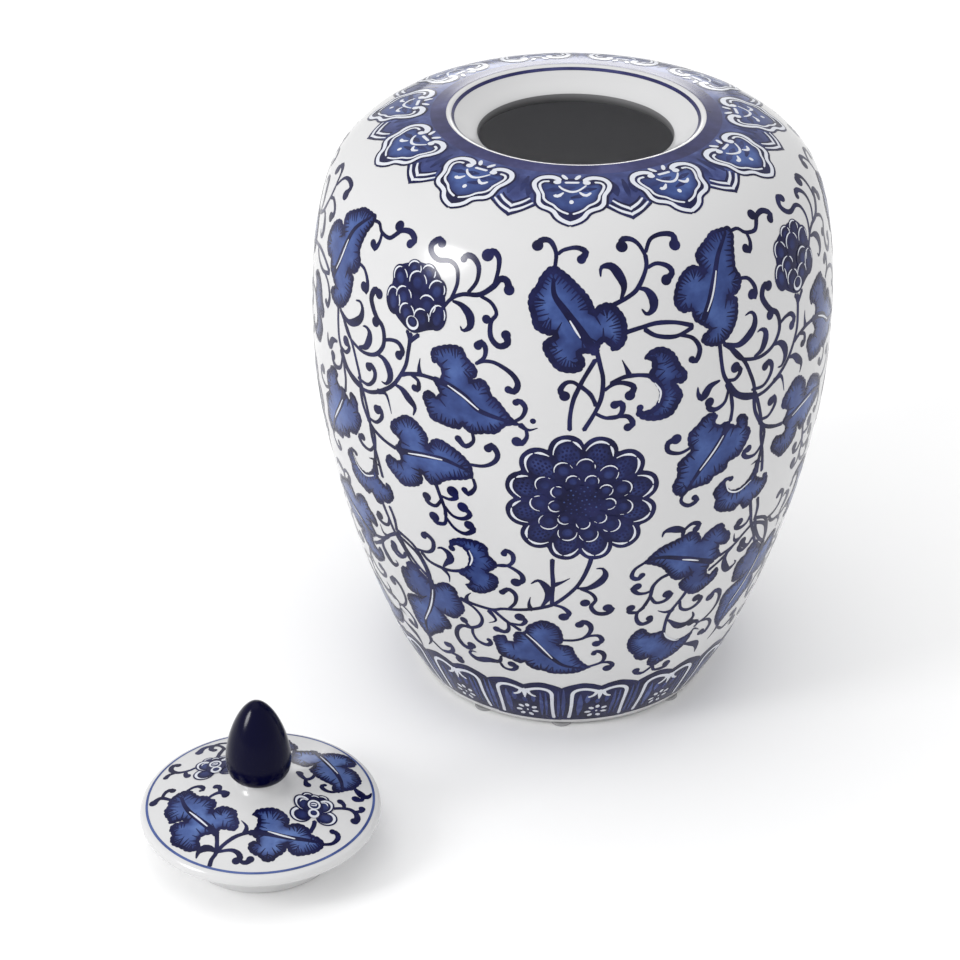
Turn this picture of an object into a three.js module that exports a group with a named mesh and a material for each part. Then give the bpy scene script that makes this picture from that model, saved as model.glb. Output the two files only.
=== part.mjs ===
// A porcelain ginger jar with its lid taken off and set down beside it.
//
// Millimetres, +Z up. The jar stands on eight small pads on the plane z = 0, and the lid stands on its own
// flange on the same plane, in front of the jar and to its left. The origin is on that plane, at the centre
// of the box around jar and lid. -Y is the front.

import * as THREE from "three";

// ---------------------------------------------------------------- driving dimensions

// Jar body. Heights are measured from the plane that the jar stands on.
const BODY_RADIUS = 107.5;
const BODY_WAIST_HEIGHT = 168; // where the body is widest
const WALL = 5;
const CREST_RADIUS = 51.5; // the raised ring around the mouth
const CREST_HEIGHT = 255.2;
const OPENING_RADIUS = 39.1; // the clear way into the jar
const OPENING_HEIGHT = 247.5; // top of the opening's rounded edge
const OPENING_UNDERSIDE = 243.2;
const FOOT_RADIUS = 64.6;
const FOOT_RING_WIDTH = 6.4;
const FOOT_EDGE = 1.2; // rounding of the foot ring's edges
const BASE_RECESS = 5; // depth of the hollow inside the foot ring
const BASE_THICKNESS = 6.4;

// Stick-on pads under the foot ring, at these angles from the front, turning towards +X.
const PAD_RADIUS = 4.6;
const PAD_THICKNESS = 1.3;
const PAD_CHAMFER = 0.3;
const PAD_CIRCLE_RADIUS = 60.6;
const PAD_AZIMUTHS = [-35, -2, 47, 92, 137, 182, 227, 272];

// Lid. Heights are measured from the bottom of its flange.
const LID_RADIUS = 47.8;
const LID_EDGE_HEIGHT = 19; // where the disc is widest
const LID_RIM_RADIUS = 44.9; // where the flat rim turns into the dome
const LID_RIM_HEIGHT = 21.8;
const LID_UNDERSIDE = 16.3;
const FLANGE_BOTTOM_RADIUS = 31;
const FLANGE_TOP_RADIUS = 35.6;
const FLANGE_WALL = 4.4;
const FLANGE_EDGE = 1.1; // rounding of the flange's lower edges
const LID_CEILING = 21; // top of the hollow under the lid
const NECK_RADIUS = 8.6;
const NECK_HEIGHT = 34.6;

// Knob: an egg, flattened where it sits on the lid's neck.
const KNOB_RADIUS = 12.9;
const KNOB_HEIGHT = 35.3;
const KNOB_SEAT_RADIUS = 7.6;
const KNOB_LOWER_POWER = 0.171; // how fast the egg opens above its seat
const KNOB_UPPER_POWER = 0.555; // how fast it closes towards its tip

const GAP = 0.3; // between pieces that touch
const LID_PLACE = new THREE.Vector2(-124.1, -145.5); // lid's axis from the jar's axis

const SIDES = { jar: 48, lid: 48, knob: 32, pad: 16 };

// ---------------------------------------------------------------- colours

const finish = (color, roughness) => new THREE.MeshStandardMaterial({ color, roughness, metalness: 0 });
const whiteGlaze = finish(0xe9eaee, 0.12);
const cobaltGlaze = finish(0x15153a, 0.08);
const softPlastic = finish(0x6f7072, 0.5);

// ---------------------------------------------------------------- outlines, as (radius, height) points

const at = (radius, height) => new THREE.Vector2(radius, height);

// A smooth line through the points, cut into equal steps.
const smooth = (points, steps) => new THREE.SplineCurve(points).getSpacedPoints(steps);

// A quarter round between two tangent directions, as a bend from one point to another.
const bend = (from, corner, to, steps) => new THREE.QuadraticBezierCurve(from, corner, to).getPoints(steps);

// Points moved inwards by a distance, square to the line that they make.
function offsetInwards(points, distance) {
  return points.slice(1, -1).map((point, i) => {
    const along = points[i + 2].clone().sub(points[i]).normalize();
    return at(point.x - along.y * distance, point.y + along.x * distance);
  });
}

// Two neighbouring outlines share an end point, which is kept once.
function join(...runs) {
  const points = runs.flat();
  return points.filter((point, i) => i === 0 || point.distanceTo(points[i - 1]) > 1e-3);
}

function jarOutline() {
  const footBottom = PAD_THICKNESS + GAP;
  const base = footBottom + BASE_RECESS;
  const floor = base + BASE_THICKNESS;
  const footInner = FOOT_RADIUS - FOOT_RING_WIDTH;
  const underside = [
    at(0, base),
    at(footInner - 1.5, base),
    at(footInner, footBottom + FOOT_EDGE),
    at(footInner + FOOT_EDGE, footBottom),
  ];
  const footEdge = bend(
    at(FOOT_RADIUS - FOOT_EDGE, footBottom),
    at(FOOT_RADIUS, footBottom),
    at(FOOT_RADIUS + 0.4, footBottom + FOOT_EDGE),
    2,
  );
  const wall = smooth(
    [
      at(FOOT_RADIUS + 0.4, footBottom + FOOT_EDGE),
      at(78.6, 30),
      at(95.1, 80),
      at(105.1, 130),
      at(BODY_RADIUS, BODY_WAIST_HEIGHT),
      at(105.8, 200),
      at(99.6, 228),
      at(88.6, 243),
      at(72, 252),
      at(CREST_RADIUS + 1.5, CREST_HEIGHT - 0.1),
    ],
    22,
  );
  const crest = bend(wall.at(-1), at(CREST_RADIUS - 1, CREST_HEIGHT + 0.3), at(49.6, 254.3), 3);
  const seat = [at(45.4, 251), at(41.8, 248.9)];
  const opening = bend(
    at(OPENING_RADIUS + 1.3, OPENING_HEIGHT + 0.4),
    at(OPENING_RADIUS, OPENING_HEIGHT - 0.6),
    at(OPENING_RADIUS, OPENING_HEIGHT - 2.2),
    2,
  );
  const lip = [at(OPENING_RADIUS + 0.9, OPENING_UNDERSIDE), at(43, OPENING_UNDERSIDE), at(51.5, 248.2)];
  const inner = offsetInwards(wall, WALL)
    .reverse()
    .filter((point, i) => i % 2 === 0 && point.x > 56 && point.y > floor + 9);
  const cove = [at(61.5, floor + 2.2), at(55, floor), at(0, floor)];
  return join(underside, footEdge, wall, crest, seat, opening, lip, inner, cove);
}

function lidOutline() {
  const flangeInner = FLANGE_BOTTOM_RADIUS - FLANGE_WALL;
  const hollow = [
    at(0, LID_CEILING),
    at(16, LID_CEILING - 0.8),
    at(flangeInner + 0.5, LID_UNDERSIDE),
    at(flangeInner, FLANGE_EDGE),
    at(flangeInner + FLANGE_EDGE, 0),
  ];
  const flange = join(
    bend(
      at(FLANGE_BOTTOM_RADIUS - FLANGE_EDGE, 0),
      at(FLANGE_BOTTOM_RADIUS, 0),
      at(FLANGE_BOTTOM_RADIUS + 0.5, 1.4),
      2,
    ),
    [at(FLANGE_TOP_RADIUS, LID_UNDERSIDE - 1.2), at(FLANGE_TOP_RADIUS + 1.2, LID_UNDERSIDE)],
  );
  const edge = smooth(
    [
      at(LID_RADIUS - 2.4, LID_UNDERSIDE),
      at(LID_RADIUS - 0.5, LID_UNDERSIDE + 0.9),
      at(LID_RADIUS, LID_EDGE_HEIGHT),
      at(LID_RADIUS - 0.9, LID_EDGE_HEIGHT + 1.9),
      at(LID_RIM_RADIUS, LID_RIM_HEIGHT),
    ],
    6,
  );
  const dome = smooth(
    [
      at(LID_RIM_RADIUS, LID_RIM_HEIGHT),
      at(31, 25.2),
      at(18, 28.2),
      at(11, 30.8),
      at(NECK_RADIUS, NECK_HEIGHT - 0.8),
    ],
    8,
  );
  const neckTop = [at(NECK_RADIUS - 0.4, NECK_HEIGHT), at(0, NECK_HEIGHT)];
  return join(hollow, flange, edge, dome, neckTop);
}

// The egg's radius at a fraction t of its height, largest where the two powers balance.
function knobRadius(t) {
  const widest = KNOB_LOWER_POWER / (KNOB_LOWER_POWER + KNOB_UPPER_POWER);
  const shape = (s) => s ** KNOB_LOWER_POWER * (1 - s) ** KNOB_UPPER_POWER;
  return (KNOB_RADIUS * shape(t)) / shape(widest);
}

function knobOutline() {
  const seat = NECK_HEIGHT + GAP;
  const steps = 14;
  const side = [];
  for (let i = 1; i < steps; i += 1) {
    const t = (1 - Math.cos((Math.PI * i) / steps)) / 2;
    side.push(at(knobRadius(t), seat + KNOB_HEIGHT * t));
  }
  return [at(0, seat), at(KNOB_SEAT_RADIUS, seat), ...side, at(0, seat + KNOB_HEIGHT)];
}

function padOutline() {
  return [
    at(0, 0),
    at(PAD_RADIUS - PAD_CHAMFER, 0),
    at(PAD_RADIUS, PAD_CHAMFER),
    at(PAD_RADIUS - PAD_CHAMFER, PAD_THICKNESS),
    at(0, PAD_THICKNESS),
  ];
}

// ---------------------------------------------------------------- pieces

// An outline that runs from the axis, outwards and up, and back to the axis, turned into a solid.
function turned(name, outline, sides, material, place) {
  const geometry = new THREE.LatheGeometry(outline, sides);
  const mesh = new THREE.Mesh(geometry, material);
  mesh.name = name;
  mesh.rotation.x = Math.PI / 2;
  mesh.position.set(place.x, place.y, 0);
  return mesh;
}

// The box around jar and lid, seen from above, gives the jar's place from the origin.
const highest = Math.max(BODY_RADIUS, LID_PLACE.x + LID_RADIUS, LID_PLACE.y + LID_RADIUS);
const jarPlace = new THREE.Vector2(
  -(highest + LID_PLACE.x - LID_RADIUS) / 2,
  -(highest + LID_PLACE.y - LID_RADIUS) / 2,
);
const lidPlace = jarPlace.clone().add(LID_PLACE);

const gingerJar = new THREE.Group();
gingerJar.add(turned("jar_body", jarOutline(), SIDES.jar, whiteGlaze, jarPlace));
gingerJar.add(turned("lid", lidOutline(), SIDES.lid, whiteGlaze, lidPlace));
gingerJar.add(turned("lid_knob", knobOutline(), SIDES.knob, cobaltGlaze, lidPlace));

PAD_AZIMUTHS.forEach((degrees, i) => {
  const angle = THREE.MathUtils.degToRad(degrees);
  const place = jarPlace.clone().add(
    new THREE.Vector2(Math.sin(angle), -Math.cos(angle)).multiplyScalar(PAD_CIRCLE_RADIUS),
  );
  gingerJar.add(turned(`foot_pad_${i + 1}`, padOutline(), SIDES.pad, softPlastic, place));
});

export default gingerJar;
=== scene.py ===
"""A blue and white porcelain ginger jar, with its lid set down beside it.

The glazed bodies are turned from the same outlines as the fixed frame, only finer. The cobalt painting is
drawn flat, as (angle in degrees, distance along the wall in millimetres) on the jar and as millimetres from
the axis on the lid, and is then laid on the glaze in thin layers.
"""

import math

import bpy
import numpy as np
from mathutils import Matrix, Vector
from mathutils.geometry import delaunay_2d_cdt


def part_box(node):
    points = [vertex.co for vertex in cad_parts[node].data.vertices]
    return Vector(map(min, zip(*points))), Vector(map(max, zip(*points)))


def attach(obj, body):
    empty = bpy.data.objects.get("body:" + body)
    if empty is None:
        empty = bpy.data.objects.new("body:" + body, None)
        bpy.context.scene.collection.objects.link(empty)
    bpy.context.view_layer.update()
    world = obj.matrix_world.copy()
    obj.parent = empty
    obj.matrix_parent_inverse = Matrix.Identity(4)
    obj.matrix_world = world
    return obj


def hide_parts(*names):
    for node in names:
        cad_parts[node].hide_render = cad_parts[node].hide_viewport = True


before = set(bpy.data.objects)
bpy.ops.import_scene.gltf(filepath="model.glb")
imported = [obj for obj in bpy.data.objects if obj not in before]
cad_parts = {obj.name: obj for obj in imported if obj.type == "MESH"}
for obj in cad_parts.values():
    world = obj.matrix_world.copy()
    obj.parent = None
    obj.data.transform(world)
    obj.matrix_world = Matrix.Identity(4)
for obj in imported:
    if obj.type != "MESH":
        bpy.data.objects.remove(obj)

MM = 0.001
LAYER_BASE = 0.05  # mm from the glaze to the first layer of paint
LAYER_STEP = 0.03  # mm from one layer to the next
STROKE_STEP = 0.0017  # mm between strokes of one layer, so that none that cross lie in one plane
STROKE_CYCLE = 15  # strokes before those small steps start again
GRAIN = 2.2  # mm, the largest triangle side used to follow the curved glaze
BORDER_STEP = 0.45  # mm between the points of a leaf's border
JAR_SIDES = 288
SHARP_ANGLE = math.radians(38)  # bends below this are shaded smooth


jar_low, jar_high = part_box("jar_body")
lid_low, lid_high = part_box("lid")
JAR_AXIS = (jar_low + jar_high) / 2
LID_AXIS = (lid_low + lid_high) / 2


# ------------------------------------------------------------------ outlines (radius, height) in mm


def smooth_line(points, steps=14):
    """A smooth line through the points, as many short steps."""
    p = np.array(points, float)
    p = np.vstack([p[0], p, p[-1]])
    t = np.linspace(0, 1, steps, endpoint=False)[:, None]
    runs = []
    for a, b, c, d in zip(p, p[1:], p[2:], p[3:]):
        runs.append(
            0.5 * (2 * b + (c - a) * t + (2 * a - 5 * b + 4 * c - d) * t**2 + (3 * b - a - 3 * c + d) * t**3)
        )
    return np.vstack(runs + [p[-1:]])


def spaced(line, step):
    """The same line, cut into equal steps of about the given length."""
    line = np.asarray(line, float)
    run = np.concatenate([[0], np.cumsum(np.hypot(*np.diff(line, axis=0).T))])
    count = max(2, int(round(run[-1] / step)) + 1)
    at = np.linspace(0, run[-1], count)
    return np.stack([np.interp(at, run, line[:, 0]), np.interp(at, run, line[:, 1])], 1)


def closed(outline, step):
    """A closed outline, cut into equal steps of about the given length."""
    return spaced(np.vstack([outline, outline[:1]]), step)[:-1]


def bend(start, corner, end, steps=5):
    """A quarter round between two tangent directions."""
    t = np.linspace(0, 1, steps + 1)[:, None]
    return (1 - t) ** 2 * np.array(start) + 2 * t * (1 - t) * np.array(corner) + t**2 * np.array(end)


WALL_THICKNESS = 5
WALL = smooth_line(
    [(65.0, 2.8), (78.6, 30), (95.1, 80), (105.1, 130), (107.5, 168), (105.8, 200), (99.6, 228), (88.6, 243),
     (72, 252), (53.0, 255.1)],
    40,
)
WALL_RUN = np.concatenate([[0], np.cumsum(np.hypot(*np.diff(WALL, axis=0).T))])
WALL_SLOPE = np.gradient(WALL, WALL_RUN, axis=0)

LID_EDGE = smooth_line([(45.4, 16.3), (47.3, 17.2), (47.8, 19), (46.9, 20.9), (44.9, 21.8)], 6)
LID_DOME = smooth_line([(44.9, 21.8), (31, 25.2), (18, 28.2), (11, 30.8), (8.6, 33.8)], 16)
LID_TOP = np.vstack([LID_DOME[::-1], smooth_line([(44.9, 21.8), (46.9, 20.9), (47.8, 19)], 6)[1:]])


def wall_at(run):
    """(radius, height) and outward direction at a distance along the wall."""
    place = [np.interp(run, WALL_RUN, WALL[:, i]) for i in (0, 1)]
    dr, dz = [np.interp(run, WALL_RUN, WALL_SLOPE[:, i]) for i in (0, 1)]
    size = np.hypot(dr, dz)
    return place[0], place[1], dz / size, -dr / size


def jar_scale(run):
    """Millimetres per degree around the jar, at a distance along the wall."""
    return wall_at(run)[0] * math.pi / 180


def on_jar(u, v, lift):
    """Points lifted off the jar's wall, in metres, and the wall's normals there."""
    r, z, nr, nz = wall_at(v)
    angle = np.radians(u)
    out = np.stack([np.sin(angle), -np.cos(angle)], 1)
    r, z = r + nr * lift, z + nz * lift
    points = np.column_stack([out * r[:, None], z]) * MM
    points[:, 0] += JAR_AXIS.x
    points[:, 1] += JAR_AXIS.y
    return points, np.column_stack([out * nr[:, None], nz])


def lid_scale(run):
    """The lid is drawn in millimetres both ways."""
    return np.ones_like(np.asarray(run, float))


def lid_height(radius):
    return np.interp(radius, LID_TOP[:, 0], LID_TOP[:, 1])


def on_lid(u, v, lift):
    """Points lifted off the lid's top, in metres, and its normals there."""
    r = np.hypot(u, v)
    slope = (lid_height(r + 0.4) - lid_height(r - 0.4)) / 0.8
    normals = np.column_stack([-slope * u / r, -slope * v / r, np.ones_like(r)])
    normals /= np.linalg.norm(normals, axis=1)[:, None]
    points = np.column_stack([u, v, lid_height(r)]) + normals * lift[:, None]
    return points * MM + np.array([LID_AXIS.x, LID_AXIS.y, 0]), normals


# ------------------------------------------------------------------ materials


def glaze(name, stops, scale, roughness, edge=None, shine=0.16):
    """A glaze whose colour drifts between the stops. edge is the paint's colour along its borders."""
    material = bpy.data.materials.new(name)
    material.use_nodes = True
    nodes, links = material.node_tree.nodes, material.node_tree.links
    shader = nodes["Principled BSDF"]
    shader.inputs["Roughness"].default_value = roughness
    shader.inputs["IOR"].default_value = 1.5
    shader.inputs["Specular IOR Level"].default_value = shine
    if len(stops) == 1:
        shader.inputs["Base Color"].default_value = (*stops[0], 1)
        return material
    place = nodes.new("ShaderNodeTexCoord")
    noise = nodes.new("ShaderNodeTexNoise")
    noise.inputs["Scale"].default_value = scale
    noise.inputs["Detail"].default_value = 4
    noise.inputs["Roughness"].default_value = 0.6
    ramp = nodes.new("ShaderNodeValToRGB")
    colours = ramp.color_ramp.elements
    first, last = 0.32, 0.68  # the part of the noise that the colours are spread over
    colours[0].position, colours[1].position = first, last
    colours[0].color, colours[1].color = (*stops[0], 1), (*stops[-1], 1)
    for i, stop in enumerate(stops[1:-1], 1):
        colours.new(first + (last - first) * i / (len(stops) - 1)).color = (*stop, 1)
    links.new(place.outputs["Object"], noise.inputs["Vector"])
    links.new(noise.outputs["Fac"], ramp.inputs["Fac"])
    colour = ramp.outputs["Color"]
    if edge:
        tone = nodes.new("ShaderNodeAttribute")
        tone.attribute_name = "tone"
        mix = nodes.new("ShaderNodeMix")
        mix.data_type = "RGBA"
        mix.inputs["A"].default_value = (*edge, 1)
        links.new(tone.outputs["Fac"], mix.inputs["Factor"])
        links.new(colour, mix.inputs["B"])
        colour = mix.outputs["Result"]
    links.new(colour, shader.inputs["Base Color"])
    return material


def plain(name, colour, roughness):
    """A glaze or plastic of one colour."""
    return glaze(name, [colour], 1, roughness)


PORCELAIN = plain("porcelain", (0.60, 0.60, 0.605), 0.17)
INSIDE = plain("inner_glaze", (0.66, 0.66, 0.68), 0.6)
# Painted shade: the lip's inner face and the underside of the mouth are painted dark grey, to match the shade
# inside the jar's mouth.
LIP_PAINTED_SHADE = plain("lip_painted_shade", (0.15, 0.15, 0.155), 0.6)
RESERVE = plain("reserve_white", (0.62, 0.64, 0.70), 0.17)
DARK = glaze("cobalt_dark", [(0.003, 0.003, 0.027), (0.006, 0.007, 0.047), (0.012, 0.014, 0.076)], 90, 0.18)
DEEP = glaze(
    "cobalt_deep", [(0.007, 0.010, 0.056), (0.015, 0.023, 0.106), (0.033, 0.050, 0.174)], 80, 0.18,
    edge=(0.006, 0.007, 0.044),
)
WASH = glaze(
    "cobalt_wash", [(0.022, 0.038, 0.142), (0.038, 0.068, 0.218), (0.066, 0.116, 0.315)], 60, 0.18,
    edge=(0.016, 0.026, 0.112),
)
# The lid's wash is a lighter, greyer copy of the jar's wash: the same cobalt with a painted sheen, for the
# pale reflections that lie over the lid's paint.
LID_WASH_WITH_PAINTED_SHEEN = glaze(
    "cobalt_wash_lid_painted_sheen", [(0.038, 0.062, 0.190), (0.064, 0.108, 0.290), (0.110, 0.180, 0.410)], 60, 0.18,
    edge=(0.020, 0.032, 0.125),
)
BAND = glaze("cobalt_band", [(0.016, 0.021, 0.090), (0.036, 0.050, 0.170), (0.085, 0.118, 0.300)], 70, 0.18)
RING_PAINT = glaze(
    "cobalt_ring", [(0.013, 0.013, 0.062), (0.026, 0.027, 0.105), (0.052, 0.056, 0.165)], 60, 0.18,
)
LINE_PAINT = glaze("cobalt_line", [(0.035, 0.055, 0.180), (0.080, 0.120, 0.300)], 70, 0.18)
KNOB = glaze("knob_glaze", [(0.0008, 0.0008, 0.016)], 1, 0.17, shine=0.09)
PAD = plain("soft_plastic", (0.30, 0.30, 0.31), 0.5)


# ------------------------------------------------------------------ meshes


def build(name, points, faces, material, body, nodes, normals=None, tones=None):
    """A mesh that rides on a body and stands for CAD nodes. tones are 0 at a border of paint and 1 inside."""
    mesh = bpy.data.meshes.new(name)
    mesh.from_pydata([tuple(p) for p in points], [], [tuple(int(i) for i in f) for f in faces])
    mesh.materials.append(material)
    mesh.polygons.foreach_set("use_smooth", [True] * len(mesh.polygons))
    if tones is not None:
        mesh.attributes.new("tone", "FLOAT", "POINT").data.foreach_set("value", np.asarray(tones, np.float32))
    mesh.update()
    if normals is None:
        mesh.set_sharp_from_angle(angle=SHARP_ANGLE)
    else:
        mesh.normals_split_custom_set_from_vertices([tuple(n) for n in normals])
    obj = bpy.data.objects.new(name, mesh)
    bpy.context.scene.collection.objects.link(obj)
    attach(obj, body)
    for node in nodes:
        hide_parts(node)
    return obj


def turned(name, outline, axis, sides, material, body, nodes):
    """A surface turned from an outline in mm. Points on the axis become one vertex."""
    outline = np.asarray(outline, float)
    angles = np.linspace(0, 2 * math.pi, sides, endpoint=False)
    points, rings = [], []
    for r, z in outline:
        if r < 1e-6:
            rings.append([len(points)])
            points.append((axis.x, axis.y, z * MM))
            continue
        rings.append(list(range(len(points), len(points) + sides)))
        points += [(axis.x + r * MM * math.sin(a), axis.y - r * MM * math.cos(a), z * MM) for a in angles]
    faces = []
    for low, high in zip(rings, rings[1:]):
        for i in range(sides):
            j = (i + 1) % sides
            if len(low) == 1:
                faces.append((low[0], high[j], high[i]))
            elif len(high) == 1:
                faces.append((low[i], low[j], high[0]))
            else:
                faces.append((low[i], low[j], high[j], high[i]))
    return build(name, points, faces, material, body, nodes)


# ------------------------------------------------------------------ drawing


def pairs(numbers):
    """A flat run of numbers as (u, v) points."""
    return np.array(numbers, float).reshape(-1, 2)


def inside(points, outline):
    """Which points lie inside a closed outline."""
    x, y = points[:, 0][:, None], points[:, 1][:, None]
    x0, y0 = outline[:, 0][None], outline[:, 1][None]
    x1, y1 = np.roll(outline[:, 0], -1)[None], np.roll(outline[:, 1], -1)[None]
    crosses = (y0 > y) != (y1 > y)
    with np.errstate(divide="ignore", invalid="ignore"):
        at = (x1 - x0) * (y - y0) / (y1 - y0) + x0
    return (np.sum(crosses & (x < at), axis=1) % 2) == 1


def nearest(points, line):
    """Each point's distance from the nearest point of a line."""
    return np.sqrt(((points[:, None] - line[None]) ** 2).sum(2)).min(1)


class Drawing:
    """Brushwork in flat (u, v), collected as triangles for each kind of paint."""

    bulb_scale = 1.75  # mm for each unit of a tendril's bulb
    comb = 1.75  # mm between the fine strokes along a leaf's border

    def __init__(self, scale, seed):
        self.scale = scale
        self.shift = np.zeros(2)
        self.turn = 0.0
        self.parts = {"dark": [], "deep": [], "wash": [], "band": [], "white": []}
        self.count = 0
        self.random = np.random.default_rng(seed)

    def moved(self, points):
        """Points turned and shifted to where the drawing's pen stands."""
        c, s = math.cos(self.turn), math.sin(self.turn)
        return np.asarray(points, float) @ np.array([[c, s], [-s, c]]) + self.shift

    def add(self, paint, level, uv, triangles, tone):
        self.count += 1
        lift = LAYER_BASE + LAYER_STEP * level + STROKE_STEP * (self.count % STROKE_CYCLE)
        self.parts[paint].append((uv, np.asarray(triangles, int), np.full(len(uv), lift), tone))

    def fill(self, paint, level, outline, soft=2.0):
        """A filled shape. Its tone is 0 at the border and 1 from soft mm inwards."""
        outline = self.moved(outline)
        k = np.array([float(self.scale(outline[:, 1].mean())), 1.0])
        flat = outline * k
        low, high = flat.min(0), flat.max(0)
        gx, gy = np.meshgrid(np.arange(low[0], high[0], GRAIN), np.arange(low[1], high[1], GRAIN * 0.87))
        gx[1::2] += GRAIN / 2
        grid = np.stack([gx.ravel(), gy.ravel()], 1)
        if len(grid):
            grid = grid[inside(grid, flat)]
        if len(grid):
            grid = grid[nearest(grid, flat) > 0.55 * GRAIN]
        points = np.vstack([flat, grid]) if len(grid) else flat
        n = len(flat)
        rim = [(i, (i + 1) % n) for i in range(n)]
        found, _, triangles, *_ = delaunay_2d_cdt([Vector(p) for p in points], rim, [], 1, 1e-4)
        uv = np.array([tuple(p) for p in found], float)
        tone = np.clip(nearest(uv, flat) / soft, 0, 1) if paint in ("deep", "wash") else np.ones(len(uv))
        if len(triangles):
            self.add(paint, level, uv / k, triangles, tone)

    def stroke(self, paint, level, points, widths, tip=False):
        """A brush stroke along the points. widths are millimetres, spread evenly along it."""
        line = self.moved(points)
        k = float(self.scale(line[:, 1].mean()))
        line = spaced(smooth_line(line * [k, 1.0], 10) if len(line) > 2 else line * [k, 1.0], 1.1)
        t = np.linspace(0, 1, len(line))
        half = np.interp(t, np.linspace(0, 1, len(widths)), widths) / 2
        along = np.gradient(line, axis=0)
        along /= np.maximum(np.linalg.norm(along, axis=1), 1e-9)[:, None]
        side = np.stack([-along[:, 1], along[:, 0]], 1) * half[:, None]
        n = len(line)
        ends = [line[0] - along[0] * half[0] * 0.8, line[-1] + along[-1] * half[-1] * (1.6 if tip else 0.8)]
        uv = np.vstack([line + side, line - side, ends]) / [k, 1.0]
        triangles = []
        for i in range(n - 1):
            triangles += [(i, n + i, n + i + 1), (i, n + i + 1, i + 1)]
        triangles += [(2 * n, n, 0), (2 * n + 1, n - 1, 2 * n - 1)]
        self.add(paint, level, uv, triangles, np.full(len(uv), 0.75))

    def dot(self, paint, level, u, v, rx, ry=None, lean=0.0, sides=18):
        """A round or oval spot, its radii in millimetres."""
        ry = rx if ry is None else ry
        centre = self.moved([(u, v)])[0]
        k = float(self.scale(centre[1]))
        a = np.linspace(0, 2 * math.pi, sides, endpoint=False)
        x, y = rx * np.cos(a), ry * np.sin(a)
        turn = math.radians(lean) + self.turn
        ring = np.stack([x * math.cos(turn) - y * math.sin(turn), x * math.sin(turn) + y * math.cos(turn)], 1)
        uv = np.vstack([[centre], centre + ring / [k, 1], centre + ring * 0.5 / [k, 1]])
        triangles = []
        for i in range(sides):
            j = (i + 1) % sides
            rim_i, rim_j, mid_i, mid_j = 1 + i, 1 + j, 1 + sides + i, 1 + sides + j
            triangles += [(0, mid_i, mid_j), (mid_i, rim_i, rim_j), (mid_i, rim_j, mid_j)]
        tone = np.concatenate([[1], np.full(sides, 0.3), np.full(sides, 0.9)])
        self.add(paint, level, uv, triangles, tone)

    def curl(self, bulb, *numbers):
        """A tendril that swells towards a round end. bulb is that end's size, in units of bulb_scale."""
        points = pairs(numbers)
        size = bulb * self.bulb_scale
        self.stroke("dark", 0, points, [1.4, 1.6, 2.2, min(3.0, 1.8 * size)])
        self.dot("dark", 0, *points[-1], size)

    def leafy(self, *numbers):
        """A tendril like a small leaf, fullest in its middle."""
        self.stroke("dark", 0, pairs(numbers), [1.1, 2.0, 3.2, 3.7, 3.0, 1.6, 0.7], tip=True)

    def thorn(self, *numbers):
        """A short stroke that runs out to a point."""
        self.stroke("dark", 0, pairs(numbers), [2.6, 1.7, 0.9, 0.4], tip=True)

    def stem(self, *numbers):
        """A stroke of nearly even width."""
        self.stroke("dark", 0, pairs(numbers), [1.9, 1.7, 1.9, 1.6, 1.9])

    def border(self, runs):
        """A closed outline. Each run is smooth, from a corner up to the corner where the next run starts."""
        runs = [pairs(run) for run in runs]
        ends = [[run[0], run[0]] for run in runs[1:]] + [runs[0][:1]]  # a doubled point keeps a corner crisp
        return np.vstack([
            spaced(smooth_line(np.vstack([run, end]), 8), 0.8)[:-1] for run, end in zip(runs, ends)
        ])

    def edge_of(self, outline):
        """The outline in mm, its inward direction, the distance run along it, and mm for a degree."""
        k = np.array([float(self.scale(outline[:, 1].mean() + self.shift[1])), 1.0])
        flat = closed(outline * k, BORDER_STEP)
        along = np.roll(flat, -2, 0) - np.roll(flat, 2, 0)
        along /= np.maximum(np.linalg.norm(along, axis=1), 1e-9)[:, None]
        x, y = flat.T
        turn = 1 if np.sum(x * np.roll(y, -1) - np.roll(x, -1) * y) > 0 else -1
        return flat, np.stack([-along[:, 1], along[:, 0]], 1) * turn, np.arange(len(flat)) * BORDER_STEP, k

    def moved_in(self, starts, inward, depth, border, room):
        """Points moved inwards from a border, less far where the shape is too narrow to leave room."""
        ends = starts + inward * depth[:, None]
        for _ in range(6):
            depth = np.where(nearest(ends, border) < room * depth, depth * 0.66, depth)
            ends = starts + inward * depth[:, None]
        return ends, depth

    def shaded(self, outline, longest, rim):
        """A scalloped dark shape, filled with a paler wash and combed with fine strokes from its border."""
        flat, inward, run, k = self.edge_of(outline)
        pitch = self.comb
        bump = 0.42 * np.abs(np.sin(math.pi * run / (1.5 * pitch))) ** 0.5
        self.fill("dark", 0, (flat - inward * bump[:, None]) / k)
        core, depth = self.moved_in(flat, inward, np.full(len(flat), rim), flat, 0.82)
        self.fill("wash", 1, core[depth > 0.5] / k, soft=1.4 * pitch)
        count = int(run[-1] / pitch)
        picks = np.minimum((np.arange(count) * pitch / BORDER_STEP).astype(int), len(flat) - 1)
        reach = self.random.uniform(0.5, 1.0, count) * longest
        tips, reach = self.moved_in(flat[picks], inward[picks], reach, flat, 0.8)
        for start, end, length in zip(flat[picks], tips, reach):
            if length > 1.2:
                lean = self.random.uniform(-0.35, 0.35, 2)
                start = start + (end - start) * 0.7 / length
                line = np.array([start, (start + end) / 2 + lean * 0.5, end + lean]) / k
                self.stroke("dark", 2, line, [0.62 * pitch, 0.4 * pitch, 0.16 * pitch], tip=True)

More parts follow.
